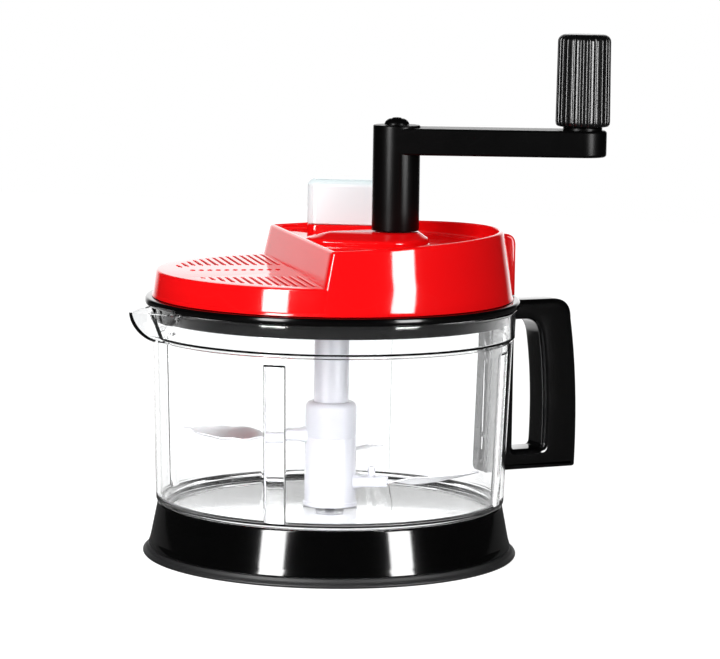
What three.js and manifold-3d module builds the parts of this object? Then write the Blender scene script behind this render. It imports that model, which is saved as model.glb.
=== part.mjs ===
// A hand cranked food chopper: a clear bowl on a black foot, a red lid with a grater deck,
// a feed chute and a pair of gears under it, a crank, and a rotor with three blades.
// Millimetres, +Z up. The origin is on the bowl's axis, in the plane that the foot stands on.
// +X points along the handle, and the pouring spout points along -X.

import * as THREE from "three";
import { mergeVertices } from "three/addons/utils/BufferGeometryUtils.js";
import Module from "manifold-3d";

const wasm = await Module();
wasm.setup();

// Clearances and facets
const gap = 0.3;
const boreGap = 0.56;
const cutOver = 2;
const weldTolerance = 1e-4;
const ringSegments = 40;
const shaftSegments = 20;
const screwSegments = 8;
const dotSegments = 6;
const bevelSegments = 2;
const cornerSegments = 3;

// Bowl, whose rim radius and height carry the sizes of everything around it
const rimRadius = 105;
const bowlHeight = 127.2;
const bandHeight = 18.1;
const bandFlare = 0.3;
const ledgeStep = 1.5;
const ledgeRise = 1.8;
const bowlDraft = 3.4;
const shoulderStep = 4.2;
const shoulderRound = 1.4;
const bowlCorner = 5;
const bowlWall = 2.4;
const bowlFloor = 2.7;
const rimBead = 0.7;
const rimBeadHeight = 1.8;
const bossFootRadius = 17;
const bossTopRadius = 8.5;
const bossRise = 5.5;
const ribWidth = 12.5;
const ribDepth = 2.2;
const ribDrop = 4.2;
const ribCount = 4;

// Base ring, whose shelf carries the bowl
const baseHeight = 30.3;
const baseLip = 3.2;
const baseSpread = 4.2;
const baseFlare = 1.2;
const baseFlareHeight = 4.2;
const baseWall = 2.4;
const baseTopRound = 1;
const shelfDepth = 14.5;
const shelfThickness = 2.4;
const shelfReach = 5.6;

// Foot ring
const footFlange = 3.3;
const footHeight = 4.8;
const footEdge = 1;
const footWidth = 9;

// Pouring spout, on the side away from the handle
const spoutLength = 19.1;
const spoutHalfWidth = 23;
const spoutWall = 2;
const spoutTipRound = 1.4;
const spoutLevels = 4;
const keelPower = 1.75;

// Blade pin that stands in the bowl's floor
const pinRadius = 3;
const pinRise = 43.2;
const pinDepth = 5.4;
const pinChamfer = 0.8;

// Handle, and the rail on the bowl that it slides over
const handleWidth = 22;
const handleRound = 3;
const handleDrop = 0.8;
const handleLift = 11.6;
const handleTopCorner = 12;
const handleDepthTop = 20.7;
const handleDepthMiddle = 21.8;
const handleDepthBottom = 22.2;
const spineOffset = 8.2;
const fingerDepthTop = 16.9;
const fingerDepthMiddle = 20;
const fingerDepthBottom = 19.9;
const fingerMarginTop = 11.5;
const fingerMarginBottom = 12.1;
const fingerTopCorner = 9;
const fingerFootCorner = 2;
const railWidth = 7;
const railDepth = 6;
const railMarginTop = 3.2;
const railMarginBottom = 4.1;
const handleScrewInset = 16;
const handleScrewDepth = 9.4;

// Small screws
const screwShankRadius = 1.5;
const screwHeadRadius = 3.2;
const screwHeadHeight = 1.9;
const screwRound = 0.6;
const screwSlotWidth = 0.9;
const screwSlotDepth = 0.8;

// Gear plate under the lid
const plateOverhang = 2;
const plateSeat = 0.4;
const plateFlange = 4.2;
const plateRound = 1.2;
const plateLandWidth = 3.7;
const plateLipWidth = 2;
const plateLipRise = 2.4;
const webDrop = 3.8;
const webThickness = 2.6;
const skirtInset = 0.7;
const skirtWall = 2.2;
const skirtDepth = 7.8;
const bearingWall = 3.2;
const bearingDepth = 7.1;
const bearingRise = 1.3;
const windowMargin = 9;
const windowInset = 3.7;
const windowCorner = 6;
const windowBarWidth = 6;

// Lid cover
const plateShoulder = 3.6;
const lidFootFlare = 1;
const lidFootRise = 2;
const lidDeckDraft = 1.7;
const lidTopDraft = 3.9;
const lidHeight = 40.1;
const lidWall = 2.4;
const deckRise = 15.3;
const rimCentreDrop = 5.4;
const rimWidth = 2.8;
const recessDepth = 10.6;
const chordFoot = 23.3;
const chordLean = 3.9;
const islandRise = 7.6;
const islandSmallRadius = 16;
const islandLargeRadius = 27;
const islandLargeOffset = 28;
const islandBevel = 1.4;
const tabStandoff = 8.6;
const tabWidth = 17;
const tabDrop = 4;
const tabCorner = 7;
const lidBossRadius = 3.9;
const lidBossInset = 8.8;
const lidScrewLength = 12;

// Grater deck
const slotPitch = 6.2;
const slotWidth = 1.3;
const slotLength = 11.8;
const slotRowPitch = 14.6;
const slotMargin = 9.5;
const slotRearStart = 15.5;
const slotFrontStart = 45.5;
const slotRearRows = 4;
const slotFrontRows = 3;
const dotRadius = 1.2;
const dotPitch = 4.8;
const dotOffset = 10;
const dotCount = 11;

// Feed chute and pusher
const chuteInset = 22.8;
const chuteLength = 50;
const chuteDepth = 26;
const chuteWall = 2.2;
const chuteCorner = 6;
const chuteRise = 5.6;
const chuteDrop = 6.7;
const pusherRise = 26.7;
const pusherShort = 0.8;
const pusherWall = 2;
const pusherRound = 4.2;

// Gears
const gearModule = 1.5;
const gearTeeth = 36;
const pinionTeeth = 12;
const gearSeat = 0.6;
const gearHeight = 8;
const gearHubRadius = 13;
const gearHubHeight = 11.6;
const gearRimWidth = 5;
const gearWebDrop = 2.4;
const toothBacklash = 0.32;
const addendumFactor = 0.9;
const dedendumFactor = 1.25;
const journalRadius = 6;
const journalFloor = 2.9;
const spindleRadius = 8;
const spindleDrop = 0.8;
const driveSquare = 10;
const driveRise = 18;
const pinionJournalRadius = 9.6;
const socketFlats = 11.6;
const pinionStubRadius = 3;
const pinionStubDepth = 5.4;
const pinionStubRoot = 6;

// Crank
const crankRadius = 105.7;
const postFootRadius = 13.2;
const postTopRadius = 12.8;
const postClearance = 0.6;
const postHeight = 60.9;
const headRadius = 13.5;
const headStep = 1.3;
const armHeight = 15.2;
const armEndRadius = 13.4;
const armBevel = 1.2;
const armWall = 2.4;
const armFloor = 3.4;
const armRibCount = 4;
const collarRadius = 11.2;
const collarRise = 1.8;
const capRadius = 7.1;
const capRise = 4.1;
const capRingDepth = 0.5;
const capRingWidth = 1;
const crankScrewRadius = 2;
const crankScrewReach = 12;

// Grip and its pin
const gripLength = 52.3;
const gripFootRadius = 15.1;
const gripTopRadius = 14.5;
const gripFluteDepth = 1.1;
const gripFluteCount = 24;
const gripDome = 3.6;
const gripPinRadius = 3;
const gripPinShort = 13;
const gripPinHeadRadius = 5.4;
const gripPinHeadHeight = 1.6;

// Rotor
const shaftRadius = 10;
const shaftClearance = 0.7;
const driveHexFlats = 11;
const driveHexShort = 0.8;
const hubRadius = 14.7;
const hubLift = 6.1;
const hubLength = 63;
const hubShoulder = 3.4;
const hubLipRadius = 15.6;
const hubLipHeight = 2.2;
const hubFloor = 2.8;
const hubSeamDrop = 20.2;
const hubSeamDepth = 0.5;
const hubSeamWidth = 0.8;
const carrierReach = 33;
const carrierRootWidth = 13;
const carrierTipWidth = 9;
const carrierRootHeight = 9;
const carrierTipHeight = 6.4;
const pegOffset = 23.7;
const pegRadius = 2.5;
const pegTopRadius = 2;
const pegRise = 5.2;

// Blades
const bladeTuck = 6;
const bladeClearance = 10.1;
const bladeThickness = 1.2;
const bladeWidth = 15;
const bladeTipWidth = 4;
const bladeBelly = 4;
const bladeScallop = 0.9;
const bladeScallopCount = 4;
const bladeStations = 14;
const bladeSweep = 13;
const upperBladeLift = 43.7;
const middleBladeLift = 27.1;
const lowerBladeLift = 17.7;
const upperBladeRise = 0.6;
const middleBladeRise = -2.5;
const lowerBladeRise = 9;

// Turns, in degrees
const lidTurn = -13.5;
const rimTilt = 2.8;
const rimTurn = -18;
const chuteTurn = 71;
const crankRestTurn = -13;
const upperBladeTurn = 169;
const middleBladeTurn = 67;
const lowerBladeTurn = -16;
const ribTurn = 47.5;
const pressureAngle = 20;
const bladeRootAngle = -28;
const bladeTipAngle = -12;
const lidScrewTurns = [28, -52, -152, 152];

const radians = THREE.MathUtils.degToRad;

// Joining and cutting

// A closed geometry as a solid that can be joined and cut. A solid comes back as it is.
function solid(geometry) {
  if (!geometry.isBufferGeometry) return geometry;
  const bare = geometry.index ? geometry.toNonIndexed() : geometry.clone();
  for (const name of Object.keys(bare.attributes)) {
    if (name !== "position") bare.deleteAttribute(name);
  }
  const merged = mergeVertices(bare, weldTolerance);
  const corners = Array.from(merged.index.array);
  const kept = [];
  for (let i = 0; i < corners.length; i += 3) {
    const [a, b, c] = corners.slice(i, i + 3);
    if (a !== b && b !== c && c !== a) kept.push(a, b, c);
  }
  const make = (list) =>
    new wasm.Manifold(
      new wasm.Mesh({
        numProp: 3,
        vertProperties: merged.attributes.position.array,
        triVerts: new Uint32Array(list),
      }),
    );
  const made = make(kept);
  return made.volume() < 0 ? make(kept.reverse()) : made;
}

function union(first, ...rest) {
  return rest.reduce((sum, next) => sum.add(solid(next)), solid(first));
}

function cut(first, ...rest) {
  return rest.reduce((left, next) => left.subtract(solid(next)), solid(first));
}

function common(first, second) {
  return solid(first).intersect(solid(second));
}

function geometryOf(body) {
  const { numProp, vertProperties, triVerts } = body.getMesh();
  const position = new Float32Array(triVerts.length * 3);
  triVerts.forEach((v, i) => {
    position.set(vertProperties.subarray(v * numProp, v * numProp + 3), i * 3);
  });
  const geometry = new THREE.BufferGeometry();
  geometry.setAttribute("position", new THREE.BufferAttribute(position, 3));
  geometry.computeVertexNormals();
  return geometry;
}

function piece(name, form, material) {
  const mesh = new THREE.Mesh(geometryOf(solid(form)), material);
  mesh.name = name;
  return mesh;
}

function finish(colour, roughness, metalness = 0, opacity = 1) {
  const transparent = opacity < 1;
  return new THREE.MeshStandardMaterial({ color: colour, roughness, metalness, opacity, transparent });
}

// Basic forms, all standing along Z

function lathe(profile, segments = ringSegments) {
  const points = profile.map(([r, z]) => new THREE.Vector2(r, z));
  const onAxis = profile[0][0] === 0 && profile[profile.length - 1][0] === 0;
  if (!onAxis) points.push(points[0].clone());
  return new THREE.LatheGeometry(points, segments).rotateX(Math.PI / 2);
}

function rod(radius, bottom, top, segments = shaftSegments) {
  return lathe([[0, bottom], [radius, bottom], [radius, top], [0, top]], segments);
}

function prism(shape, bottom, top, bevel = 0) {
  const options = {
    depth: top - bottom - 2 * bevel,
    curveSegments: cornerSegments,
    bevelEnabled: bevel > 0,
    bevelThickness: bevel,
    bevelSize: bevel,
    bevelOffset: -bevel,
    bevelSegments,
  };
  return new THREE.ExtrudeGeometry(shape, options).translate(0, 0, bottom + bevel);
}

// A plan outline that is drawn in radius and height, given its width across.
function slab(shape, width, bevel = 0) {
  return prism(shape, -width / 2, width / 2, bevel).rotateX(Math.PI / 2);
}

function block(x0, x1, y0, y1, z0, z1) {
  const box = new THREE.BoxGeometry(x1 - x0, y1 - y0, z1 - z0);
  return box.translate((x0 + x1) / 2, (y0 + y1) / 2, (z0 + z1) / 2);
}

function outline(points) {
  return new THREE.Shape(points.map(([x, y]) => new THREE.Vector2(x, y)));
}

function roundedRect(length, depth, corner) {
  const x = length / 2;
  const y = depth / 2;
  const shape = new THREE.Shape();
  shape.moveTo(-x + corner, -y);
  shape.lineTo(x - corner, -y);
  shape.absarc(x - corner, -y + corner, corner, -Math.PI / 2, 0);
  shape.lineTo(x, y - corner);
  shape.absarc(x - corner, y - corner, corner, 0, Math.PI / 2);
  shape.lineTo(-x + corner, y);
  shape.absarc(-x + corner, y - corner, corner, Math.PI / 2, Math.PI);
  shape.lineTo(-x, -y + corner);
  shape.absarc(-x + corner, -y + corner, corner, Math.PI, 1.5 * Math.PI);
  return shape;
}

function polygonRod(flats, sides, bottom, top) {
  const radius = flats / 2 / Math.cos(Math.PI / sides);
  return rod(radius, bottom, top, sides).rotateZ(Math.PI / sides);
}

// Skins a stack of rings, each a closed loop of points, and caps both ends.
function loft(rings) {
  const position = rings.flat().flatMap((p) => [p.x, p.y, p.z]);
  const n = rings[0].length;
  const index = [];
  for (let k = 0; k + 1 < rings.length; k += 1) {
    for (let i = 0; i < n; i += 1) {
      const a = k * n + i;
      const b = k * n + ((i + 1) % n);
      index.push(a, b, b + n, a, b + n, a + n);
    }
  }
  for (const k of [0, rings.length - 1]) {
    const centre = rings[k].reduce((sum, p) => sum.add(p), new THREE.Vector3()).divideScalar(n);
    const c = position.length / 3;
    position.push(centre.x, centre.y, centre.z);
    for (let i = 0; i < n; i += 1) {
      const a = k * n + i;
      const b = k * n + ((i + 1) % n);
      index.push(...(k === 0 ? [c, b, a] : [c, a, b]));
    }
  }
  const geometry = new THREE.BufferGeometry();
  geometry.setAttribute("position", new THREE.Float32BufferAttribute(position, 3));
  geometry.setIndex(index);
  return geometry;
}

function arcProfile(r, z, radius, fromTurn, toTurn) {
  const points = [];
  for (let i = 0; i <= cornerSegments; i += 1) {
    const a = radians(fromTurn + ((toTurn - fromTurn) * i) / cornerSegments);
    points.push([r + radius * Math.cos(a), z + radius * Math.sin(a)]);
  }
  return points;
}

// Places worked out from the driving sizes. Heights are stacked from the table up.

const shelfTop = baseHeight - shelfDepth;
const bowlBottom = shelfTop + gap;
const bowlFloorTop = bowlBottom + bowlFloor;
const rimHeight = bowlBottom + bowlHeight;
const ledgeHeight = rimHeight - bandHeight;
const bandBottom = ledgeHeight + ledgeRise;
const bandRadius = rimRadius - bandFlare;
const bowlLedgeRadius = bandRadius - ledgeStep;
const bowlWaistRadius = bowlLedgeRadius - bowlDraft;
const bowlFootRadius = bowlWaistRadius - shoulderStep;
const shoulderHeight = baseHeight + gap;

const baseTopRadius = bowlFootRadius + baseLip;
const baseWaistRadius = baseTopRadius + baseSpread;
const baseFootRadius = baseWaistRadius + baseFlare;
const baseWaistHeight = footHeight + baseFlareHeight;
const footRadius = baseFootRadius + footFlange;

const handleTop = rimHeight - handleDrop;
const handleBottom = baseHeight + handleLift;
const spineOuter = rimRadius + spineOffset;
const fingerTop = handleTop - fingerMarginTop;
const fingerBottom = handleBottom + fingerMarginBottom;
const railTop = ledgeHeight - railMarginTop;
const railBottom = handleBottom + railMarginBottom;
const railReach = bowlLedgeRadius + railDepth;

const plateRadius = rimRadius + plateOverhang;
const flangeBottom = rimHeight + plateSeat;
const plateTop = flangeBottom + plateFlange;
const webTop = plateTop - webDrop;
const webBottom = webTop - webThickness;
const skirtRadius = bandRadius - bowlWall - skirtInset;
const skirtBottom = flangeBottom - skirtDepth;
const bearingBottom = webTop - bearingDepth;
const bearingTop = webTop + bearingRise;

const lidBottom = plateTop + gap;
const lidFootRadius = plateRadius - plateShoulder;
const lidDeckRadius = lidFootRadius - lidFootFlare - lidDeckDraft;
const lidTopRadius = lidDeckRadius - lidTopDraft;
const deckHeight = plateTop + deckRise;
const lidTopHeight = plateTop + lidHeight;
const rimCentreHeight = lidTopHeight - rimCentreDrop;
const recessFloor = lidTopHeight - recessDepth;
const islandTop = recessFloor + islandRise;
const lidBossCircle = lidTopRadius - lidBossInset;
const chuteRadius = lidTopRadius - chuteInset;
const chuteTop = recessFloor + chuteRise;
const chuteBottom = webTop - chuteDrop;

const gearBottom = bearingTop + gearSeat;
const gearHubTop = gearBottom + gearHubHeight;
const crankOffset = (gearModule * (gearTeeth + pinionTeeth)) / 2;
const driveTop = islandTop + driveRise;
const headTop = islandTop + postHeight;
const armTop = headTop - headStep;
const armBottom = armTop - armHeight;
const gripBottom = armTop + collarRise + gap;
const gripTop = gripBottom + gripLength;

const hubBottom = bowlFloorTop + hubLift;
const hubTop = hubBottom + hubLength;
const shaftTop = bearingBottom - shaftClearance;
const pinTop = bowlFloorTop + pinRise;
const lowerBladeHeight = hubBottom + lowerBladeLift;

// The bowl's outer radius: straight where it stands in the base, then leaning out above its shoulder.
function bowlRadiusAt(height) {
  const share = (height - shoulderHeight) / (ledgeHeight - shoulderHeight);
  return share < 0 ? bowlFootRadius : bowlWaistRadius + (bowlLedgeRadius - bowlWaistRadius) * share;
}

function lidKnots() {
  return [
    [lidBottom, lidFootRadius],
    [lidBottom + lidFootRise, lidFootRadius - lidFootFlare],
    [deckHeight, lidDeckRadius],
    [lidTopHeight, lidTopRadius],
  ];
}

function lidRadiusAt(height) {
  const knots = lidKnots();
  const above = knots.findIndex(([z]) => z > height);
  if (above === 0) return knots[0][1];
  const [z0, r0] = knots.at(above < 0 ? -2 : above - 1);
  const [z1, r1] = knots.at(above);
  return r0 + ((r1 - r0) * (height - z0)) / (z1 - z0);
}

// Foot and base

function footRing() {
  const inner = footRadius - footWidth;
  return lathe([
    [inner, 0],
    [footRadius - footEdge, 0],
    [footRadius, footEdge],
    [(footRadius + baseFootRadius) / 2, footHeight / 2],
    [baseFootRadius, footHeight],
    [inner, footHeight],
  ]);
}

function baseRing() {
  const bottom = footHeight + gap;
  const slope = (baseWaistRadius - baseTopRadius) / (baseHeight - baseWaistHeight);
  const wallAt = (height) => baseWaistRadius - slope * (height - baseWaistHeight);
  const mouth = bowlRadiusAt(baseHeight) + gap;
  const shelfBottom = shelfTop - shelfThickness;
  const shelfInner = bowlFootRadius - shelfReach;
  return lathe([
    [baseFootRadius - baseWall, bottom],
    [baseFootRadius, bottom],
    [baseWaistRadius, baseWaistHeight],
    [wallAt(baseHeight - baseTopRound), baseHeight - baseTopRound],
    [baseTopRadius - baseTopRound, baseHeight],
    [mouth, baseHeight],
    [Math.max(mouth, wallAt(shelfTop) - baseWall), shelfTop],
    [shelfInner, shelfTop],
    [shelfInner, shelfBottom],
    [wallAt(shelfBottom) - baseWall, shelfBottom],
    [baseWaistRadius - baseWall, baseWaistHeight],
  ]);
}

// Bowl

function bowlShell() {
  const innerCorner = bowlCorner - bowlWall + gap;
  const bandInner = bandRadius - bowlWall;
  const corner = arcProfile(bowlFootRadius - bowlCorner, bowlBottom + bowlCorner, bowlCorner, -90, 0);
  const inside = arcProfile(
    bowlRadiusAt(bowlFloorTop) - bowlWall - innerCorner,
    bowlFloorTop + innerCorner,
    innerCorner,
    0,
    -90,
  );
  return lathe([
    [0, bowlBottom],
    ...corner,
    [bowlFootRadius, shoulderHeight],
    [bowlWaistRadius - shoulderRound, shoulderHeight],
    [bowlRadiusAt(shoulderHeight + shoulderRound), shoulderHeight + shoulderRound],
    [bowlLedgeRadius, ledgeHeight],
    [bandRadius, bandBottom],
    [rimRadius, rimHeight - rimBeadHeight],
    [rimRadius + rimBead, rimHeight - rimBeadHeight + rimBead],
    [rimRadius + rimBead, rimHeight - rimBead],
    [rimRadius, rimHeight],
    [rimRadius - bowlWall, rimHeight],
    [bandInner, bandBottom + bowlWall / 2],
    [bowlLedgeRadius - bowlWall, ledgeHeight + bowlWall / 2],
    [bowlWaistRadius - bowlWall, shoulderHeight + bowlWall + shoulderRound],
    [bowlFootRadius - bowlWall, shoulderHeight + bowlWall - shoulderRound],
    ...inside,
    [bossFootRadius, bowlFloorTop],
    [bossTopRadius, bowlFloorTop + bossRise],
    [pinRadius + gap, bowlFloorTop + bossRise],
    [pinRadius + gap, bowlFloorTop + bossRise - pinDepth - gap],
    [0, bowlFloorTop + bossRise - pinDepth - gap],
  ]);
}

// One rib down the inside of the wall, on +X, leaning with the wall.
function bowlRib() {
  const ring = (height) => {
    const outer = bowlRadiusAt(height) - bowlWall / 2;
    const inner = outer - bowlWall / 2 - ribDepth;
    const root = ribWidth / 2;
    const crest = root - ribDepth / 2;
    return [
      new THREE.Vector3(outer, -root, height),
      new THREE.Vector3(outer, root, height),
      new THREE.Vector3(inner + ribDepth / 2, root, height),
      new THREE.Vector3(inner, crest, height),
      new THREE.Vector3(inner, -crest, height),
      new THREE.Vector3(inner + ribDepth / 2, -root, height),
    ];
  };
  return loft([ring(shoulderHeight + bowlWall / 2), ring(ledgeHeight - ribDrop)]);
}

// The spout is a stack of beak outlines that widen and reach out towards the rim.
function spoutForm(inset, bottom, top, root) {
  const rings = [];
  const depth = rimHeight - ledgeHeight;
  const spoutReach = rimRadius + spoutLength;
  for (let i = 0; i <= spoutLevels; i += 1) {
    const share = i / spoutLevels;
    const height = bottom + (rimHeight - bottom) * share;
    const open = Math.min(1, Math.max(0, (rimHeight - height + inset) / depth));
    const out = Math.pow(1 - Math.pow(open, keelPower), 1 / keelPower);
    const reach = bandRadius + (spoutReach - bandRadius - inset) * out;
    const half = spoutTipRound + (spoutHalfWidth - inset - spoutTipRound) * (1 - open);
    rings.push(beak(root, reach, half, height));
  }
  const last = rings[rings.length - 1];
  rings.push(last.map((p) => new THREE.Vector3(p.x, p.y, top)));
  return loft(rings);
}

function beak(root, reach, half, height) {
  const shoulder = bandRadius - bowlWall / 2;
  const tip = Math.min(spoutTipRound, half / 2);
  const side = (s) => [
    [shoulder, s * half],
    [(shoulder + reach) / 2, s * (half + tip) * 0.54],
    [reach - tip / 2, s * tip],
  ];
  const path = [[root, -half], ...side(-1), [reach, 0], ...side(1).reverse(), [root, half]];
  return path.map(([r, y]) => new THREE.Vector3(-r, -y, height));
}

function handleRail() {
  const middle = (height) => bowlRadiusAt(height) - bowlWall / 2;
  const shape = outline([
    [middle(railBottom), railBottom],
    [bowlRadiusAt(railBottom), railBottom],
    [railReach, railBottom + railWidth],
    [railReach, railTop - railWidth],
    [bowlRadiusAt(railTop), railTop],
    [middle(railTop), railTop],
  ]);
  return slab(shape, railWidth);
}

function bowl() {
  const spout = spoutForm(0, ledgeHeight, rimHeight, bandRadius - bowlWall);
  const ribs = [];
  for (let i = 0; i < ribCount; i += 1) {
    ribs.push(bowlRib().rotateZ(radians(ribTurn + (360 * i) / ribCount)));
  }
  const body = union(bowlShell(), spout, handleRail(), ...ribs);
  const pour = spoutForm(spoutWall, ledgeHeight + spoutWall, rimHeight + cutOver, bandRadius - 3 * bowlWall);
  return cut(body, pour, ...handleScrewHoles(screwShankRadius + gap));
}

function bladePin() {
  const bottom = bowlFloorTop + bossRise - pinDepth;
  return lathe(
    [
      [0, bottom],
      [pinRadius, bottom],
      [pinRadius, pinTop - pinChamfer],
      [pinRadius - pinChamfer, pinTop],
      [0, pinTop],
    ],
    screwSegments,
  );
}

// Handle

function handleOutline() {
  const outerTop = spineOuter + fingerDepthTop + handleDepthTop;
  const outerMiddle = spineOuter + fingerDepthMiddle + handleDepthMiddle;
  const outerBottom = spineOuter + fingerDepthBottom + handleDepthBottom;
  const bulge = 2 * outerMiddle - (outerTop + outerBottom) / 2;
  const middle = (handleTop + handleBottom) / 2;
  const inner = bowlFootRadius;
  const shape = new THREE.Shape();
  shape.moveTo(inner, handleBottom);
  shape.lineTo(outerBottom, handleBottom);
  shape.quadraticCurveTo(bulge, middle, outerTop, handleTop - handleTopCorner);
  shape.quadraticCurveTo(outerTop, handleTop, outerTop - handleTopCorner, handleTop);
  shape.lineTo(inner, handleTop);
  return shape;
}

function fingerHole() {
  const innerTop = spineOuter + fingerDepthTop;
  const innerMiddle = spineOuter + fingerDepthMiddle;
  const innerBottom = spineOuter + fingerDepthBottom;
  const bulge = 2 * innerMiddle - (innerTop + innerBottom) / 2;
  const middle = (fingerTop + fingerBottom) / 2;
  const hole = new THREE.Path();
  hole.moveTo(spineOuter, fingerBottom);
  hole.lineTo(spineOuter, fingerTop);
  hole.lineTo(innerTop - fingerTopCorner, fingerTop);
  const cornerStart = fingerTop - fingerTopCorner;
  hole.quadraticCurveTo(innerTop - fingerFootCorner, fingerTop, innerTop, cornerStart);
  hole.quadraticCurveTo(bulge, middle, innerBottom, fingerBottom + fingerFootCorner);
  hole.lineTo(innerBottom - fingerFootCorner, fingerBottom);
  return hole;
}

function handleScrewHoles(radius) {
  const heights = [railBottom + handleScrewInset, railTop - handleScrewInset];
  const bottom = spineOuter - handleScrewDepth - gap;
  return heights.map((height) =>
    rod(radius, bottom, spineOuter + cutOver, screwSegments)
      .rotateY(Math.PI / 2)
      .translate(0, 0, height),
  );
}

function handle() {
  const shape = handleOutline();
  shape.holes.push(fingerHole());
  const body = slab(shape, handleWidth, handleRound);
  const half = railWidth / 2 + gap;
  const groove = block(0, railReach + gap, -half, half, railBottom - gap, railTop + gap);
  const bowlRoom = lathe([
    [0, shoulderHeight],
    [bowlWaistRadius + gap, shoulderHeight],
    [bowlLedgeRadius + gap, ledgeHeight - gap],
    [bandRadius + gap, bandBottom - gap],
    [rimRadius + rimBead + gap, rimHeight - rimBeadHeight - gap],
    [rimRadius + rimBead + gap, rimHeight + cutOver],
    [0, rimHeight + cutOver],
  ]);
  return cut(body, groove, bowlRoom, ...handleScrewHoles(screwShankRadius + gap));
}

// A pan head screw with a slot, its head's underside at zero height and its shank below.
function panScrew(length) {
  const body = lathe(
    [
      [0, -length],
      [screwShankRadius, -length],
      [screwShankRadius, 0],
      [screwHeadRadius, 0],
      [screwHeadRadius, screwHeadHeight - screwRound],
      [screwHeadRadius - screwRound, screwHeadHeight],
      [0, screwHeadHeight],
    ],
    screwSegments,
  );
  const half = screwSlotWidth / 2;
  const over = screwHeadHeight + cutOver;
  const slot = block(-half, half, -screwHeadRadius - cutOver, screwHeadRadius + cutOver,
    screwHeadHeight - screwSlotDepth, over);
  return cut(body, slot);
}

function handleScrew(height) {
  return geometryOf(panScrew(handleScrewDepth + gap))
    .rotateY(Math.PI / 2)
    .translate(spineOuter + gap, 0, height);
}

// Gear plate

function chuteOutline(offset) {
  return roundedRect(chuteLength + 2 * offset, chuteDepth + 2 * offset, chuteCorner + offset);
}

function atChute(geometry) {
  return geometry.rotateZ(Math.PI / 2).translate(chuteRadius, 0, 0).rotateZ(radians(chuteTurn));
}

function lidScrewPlaces() {
  return lidScrewTurns.map((turn) => ({
    x: lidBossCircle * Math.cos(radians(turn)),
    y: lidBossCircle * Math.sin(radians(turn)),
  }));
}

// The openings in the web under the grater deck: two bays of a circle's segment, with a bar between.
function deckWindow() {
  const radius = plateLandInner() - windowMargin;
  const windowChord = chordFoot + windowInset;
  const start = Math.acos(windowChord / radius);
  const bay = (sign) => {
    const from = Math.asin(windowBarWidth / 2 / radius);
    const shape = new THREE.Shape();
    shape.moveTo(-windowChord, (sign * windowBarWidth) / 2);
    shape.lineTo(-radius * Math.cos(from), sign * radius * Math.sin(from));
    const steps = 3 * cornerSegments;
    const last = start - windowCorner / radius;
    for (let i = 1; i <= steps; i += 1) {
      const a = from + ((last - from) * i) / steps;
      shape.lineTo(-radius * Math.cos(a), sign * radius * Math.sin(a));
    }
    shape.lineTo(-windowChord, sign * radius * Math.sin(last - windowCorner / radius));
    return prism(shape, webBottom - cutOver, webTop + cutOver);
  };
  return union(bay(1), bay(-1));
}

function plateLipRadius() {
  return lidRadiusAt(plateTop + plateLipRise) - lidWall - gap;
}

function plateLandInner() {
  return plateLipRadius() - plateLandWidth;
}

function gearPlate() {
  const lip = plateLipRadius();
  const land = plateLandInner();
  const lipInner = lip - plateLipWidth;
  const skirtInner = skirtRadius - skirtWall;
  const disc = lathe([
    [0, webBottom],
    [skirtInner, webBottom],
    [skirtInner, skirtBottom],
    [skirtRadius, skirtBottom],
    [skirtRadius, flangeBottom],
    [plateRadius - plateRound, flangeBottom],
    [plateRadius, flangeBottom + plateRound],
    [plateRadius, plateTop - plateRound],
    [plateRadius - plateRound, plateTop],
    [lip, plateTop],
    [lip, plateTop + plateLipRise],
    [lipInner, plateTop + plateLipRise],
    [land, plateTop],
    [land, webTop],
    [0, webTop],
  ]);
  const pinionBore = pinionJournalRadius + gap;
  const journalBore = journalRadius + gap;
  const journalBottom = bearingBottom + journalFloor;
  const bearing = rod(pinionBore + bearingWall, bearingBottom, bearingTop);
  const cup = rod(journalBore + bearingWall, bearingBottom, bearingTop).translate(crankOffset, 0, 0);
  const screws = lidScrewPlaces().map(({ x, y }) =>
    rod(screwShankRadius + gap, webBottom - cutOver, webTop + cutOver, screwSegments).translate(x, y, 0));
  return cut(
    union(disc, bearing, cup),
    rod(pinionBore, bearingBottom - cutOver, bearingTop + cutOver),
    rod(journalBore, journalBottom - gap, bearingTop + cutOver).translate(crankOffset, 0, 0),
    atChute(prism(chuteOutline(gap), webBottom - cutOver, webTop + cutOver)),
    deckWindow(),
    ...screws,
  );
}

// Lid cover

// The lid's outer form between two heights, drawn in by an inset.
function lidCone(inset, bottom, top) {
  const between = lidKnots().filter(([z]) => z > bottom && z < top);
  const knots = [[bottom, lidRadiusAt(bottom)], ...between, [top, lidRadiusAt(top)]];
  return lathe([[0, bottom], ...knots.map(([z, r]) => [r - inset, z]), [0, top]]);
}

// A wedge across the whole lid, drawn in the lid's own length and height.
function across(points) {
  return slab(outline(points), 2 * (lidFootRadius + cutOver));
}

function islandOutline(offset) {
  const small = islandSmallRadius + offset;
  const large = islandLargeRadius + offset;
  const lean = Math.asin((islandLargeRadius - islandSmallRadius) / islandLargeOffset);
  const steps = 3 * cornerSegments;
  const points = [];
  const arc = (x, radius, from, to) => {
    for (let i = 0; i <= steps; i += 1) {
      const a = from + ((to - from) * i) / steps;
      points.push([x + radius * Math.cos(a), radius * Math.sin(a)]);
    }
  };
  const touch = Math.PI / 2 + lean;
  arc(0, small, touch, 2 * Math.PI - touch);
  arc(islandLargeOffset, large, -touch, touch);
  return outline(points);
}

function rimPlane() {
  const reach = 2 * lidFootRadius;
  const over = block(-reach, reach, -reach, reach, 0, lidTopHeight);
  return over.rotateY(-radians(rimTilt)).rotateZ(radians(rimTurn)).translate(0, 0, rimCentreHeight);
}

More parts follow.
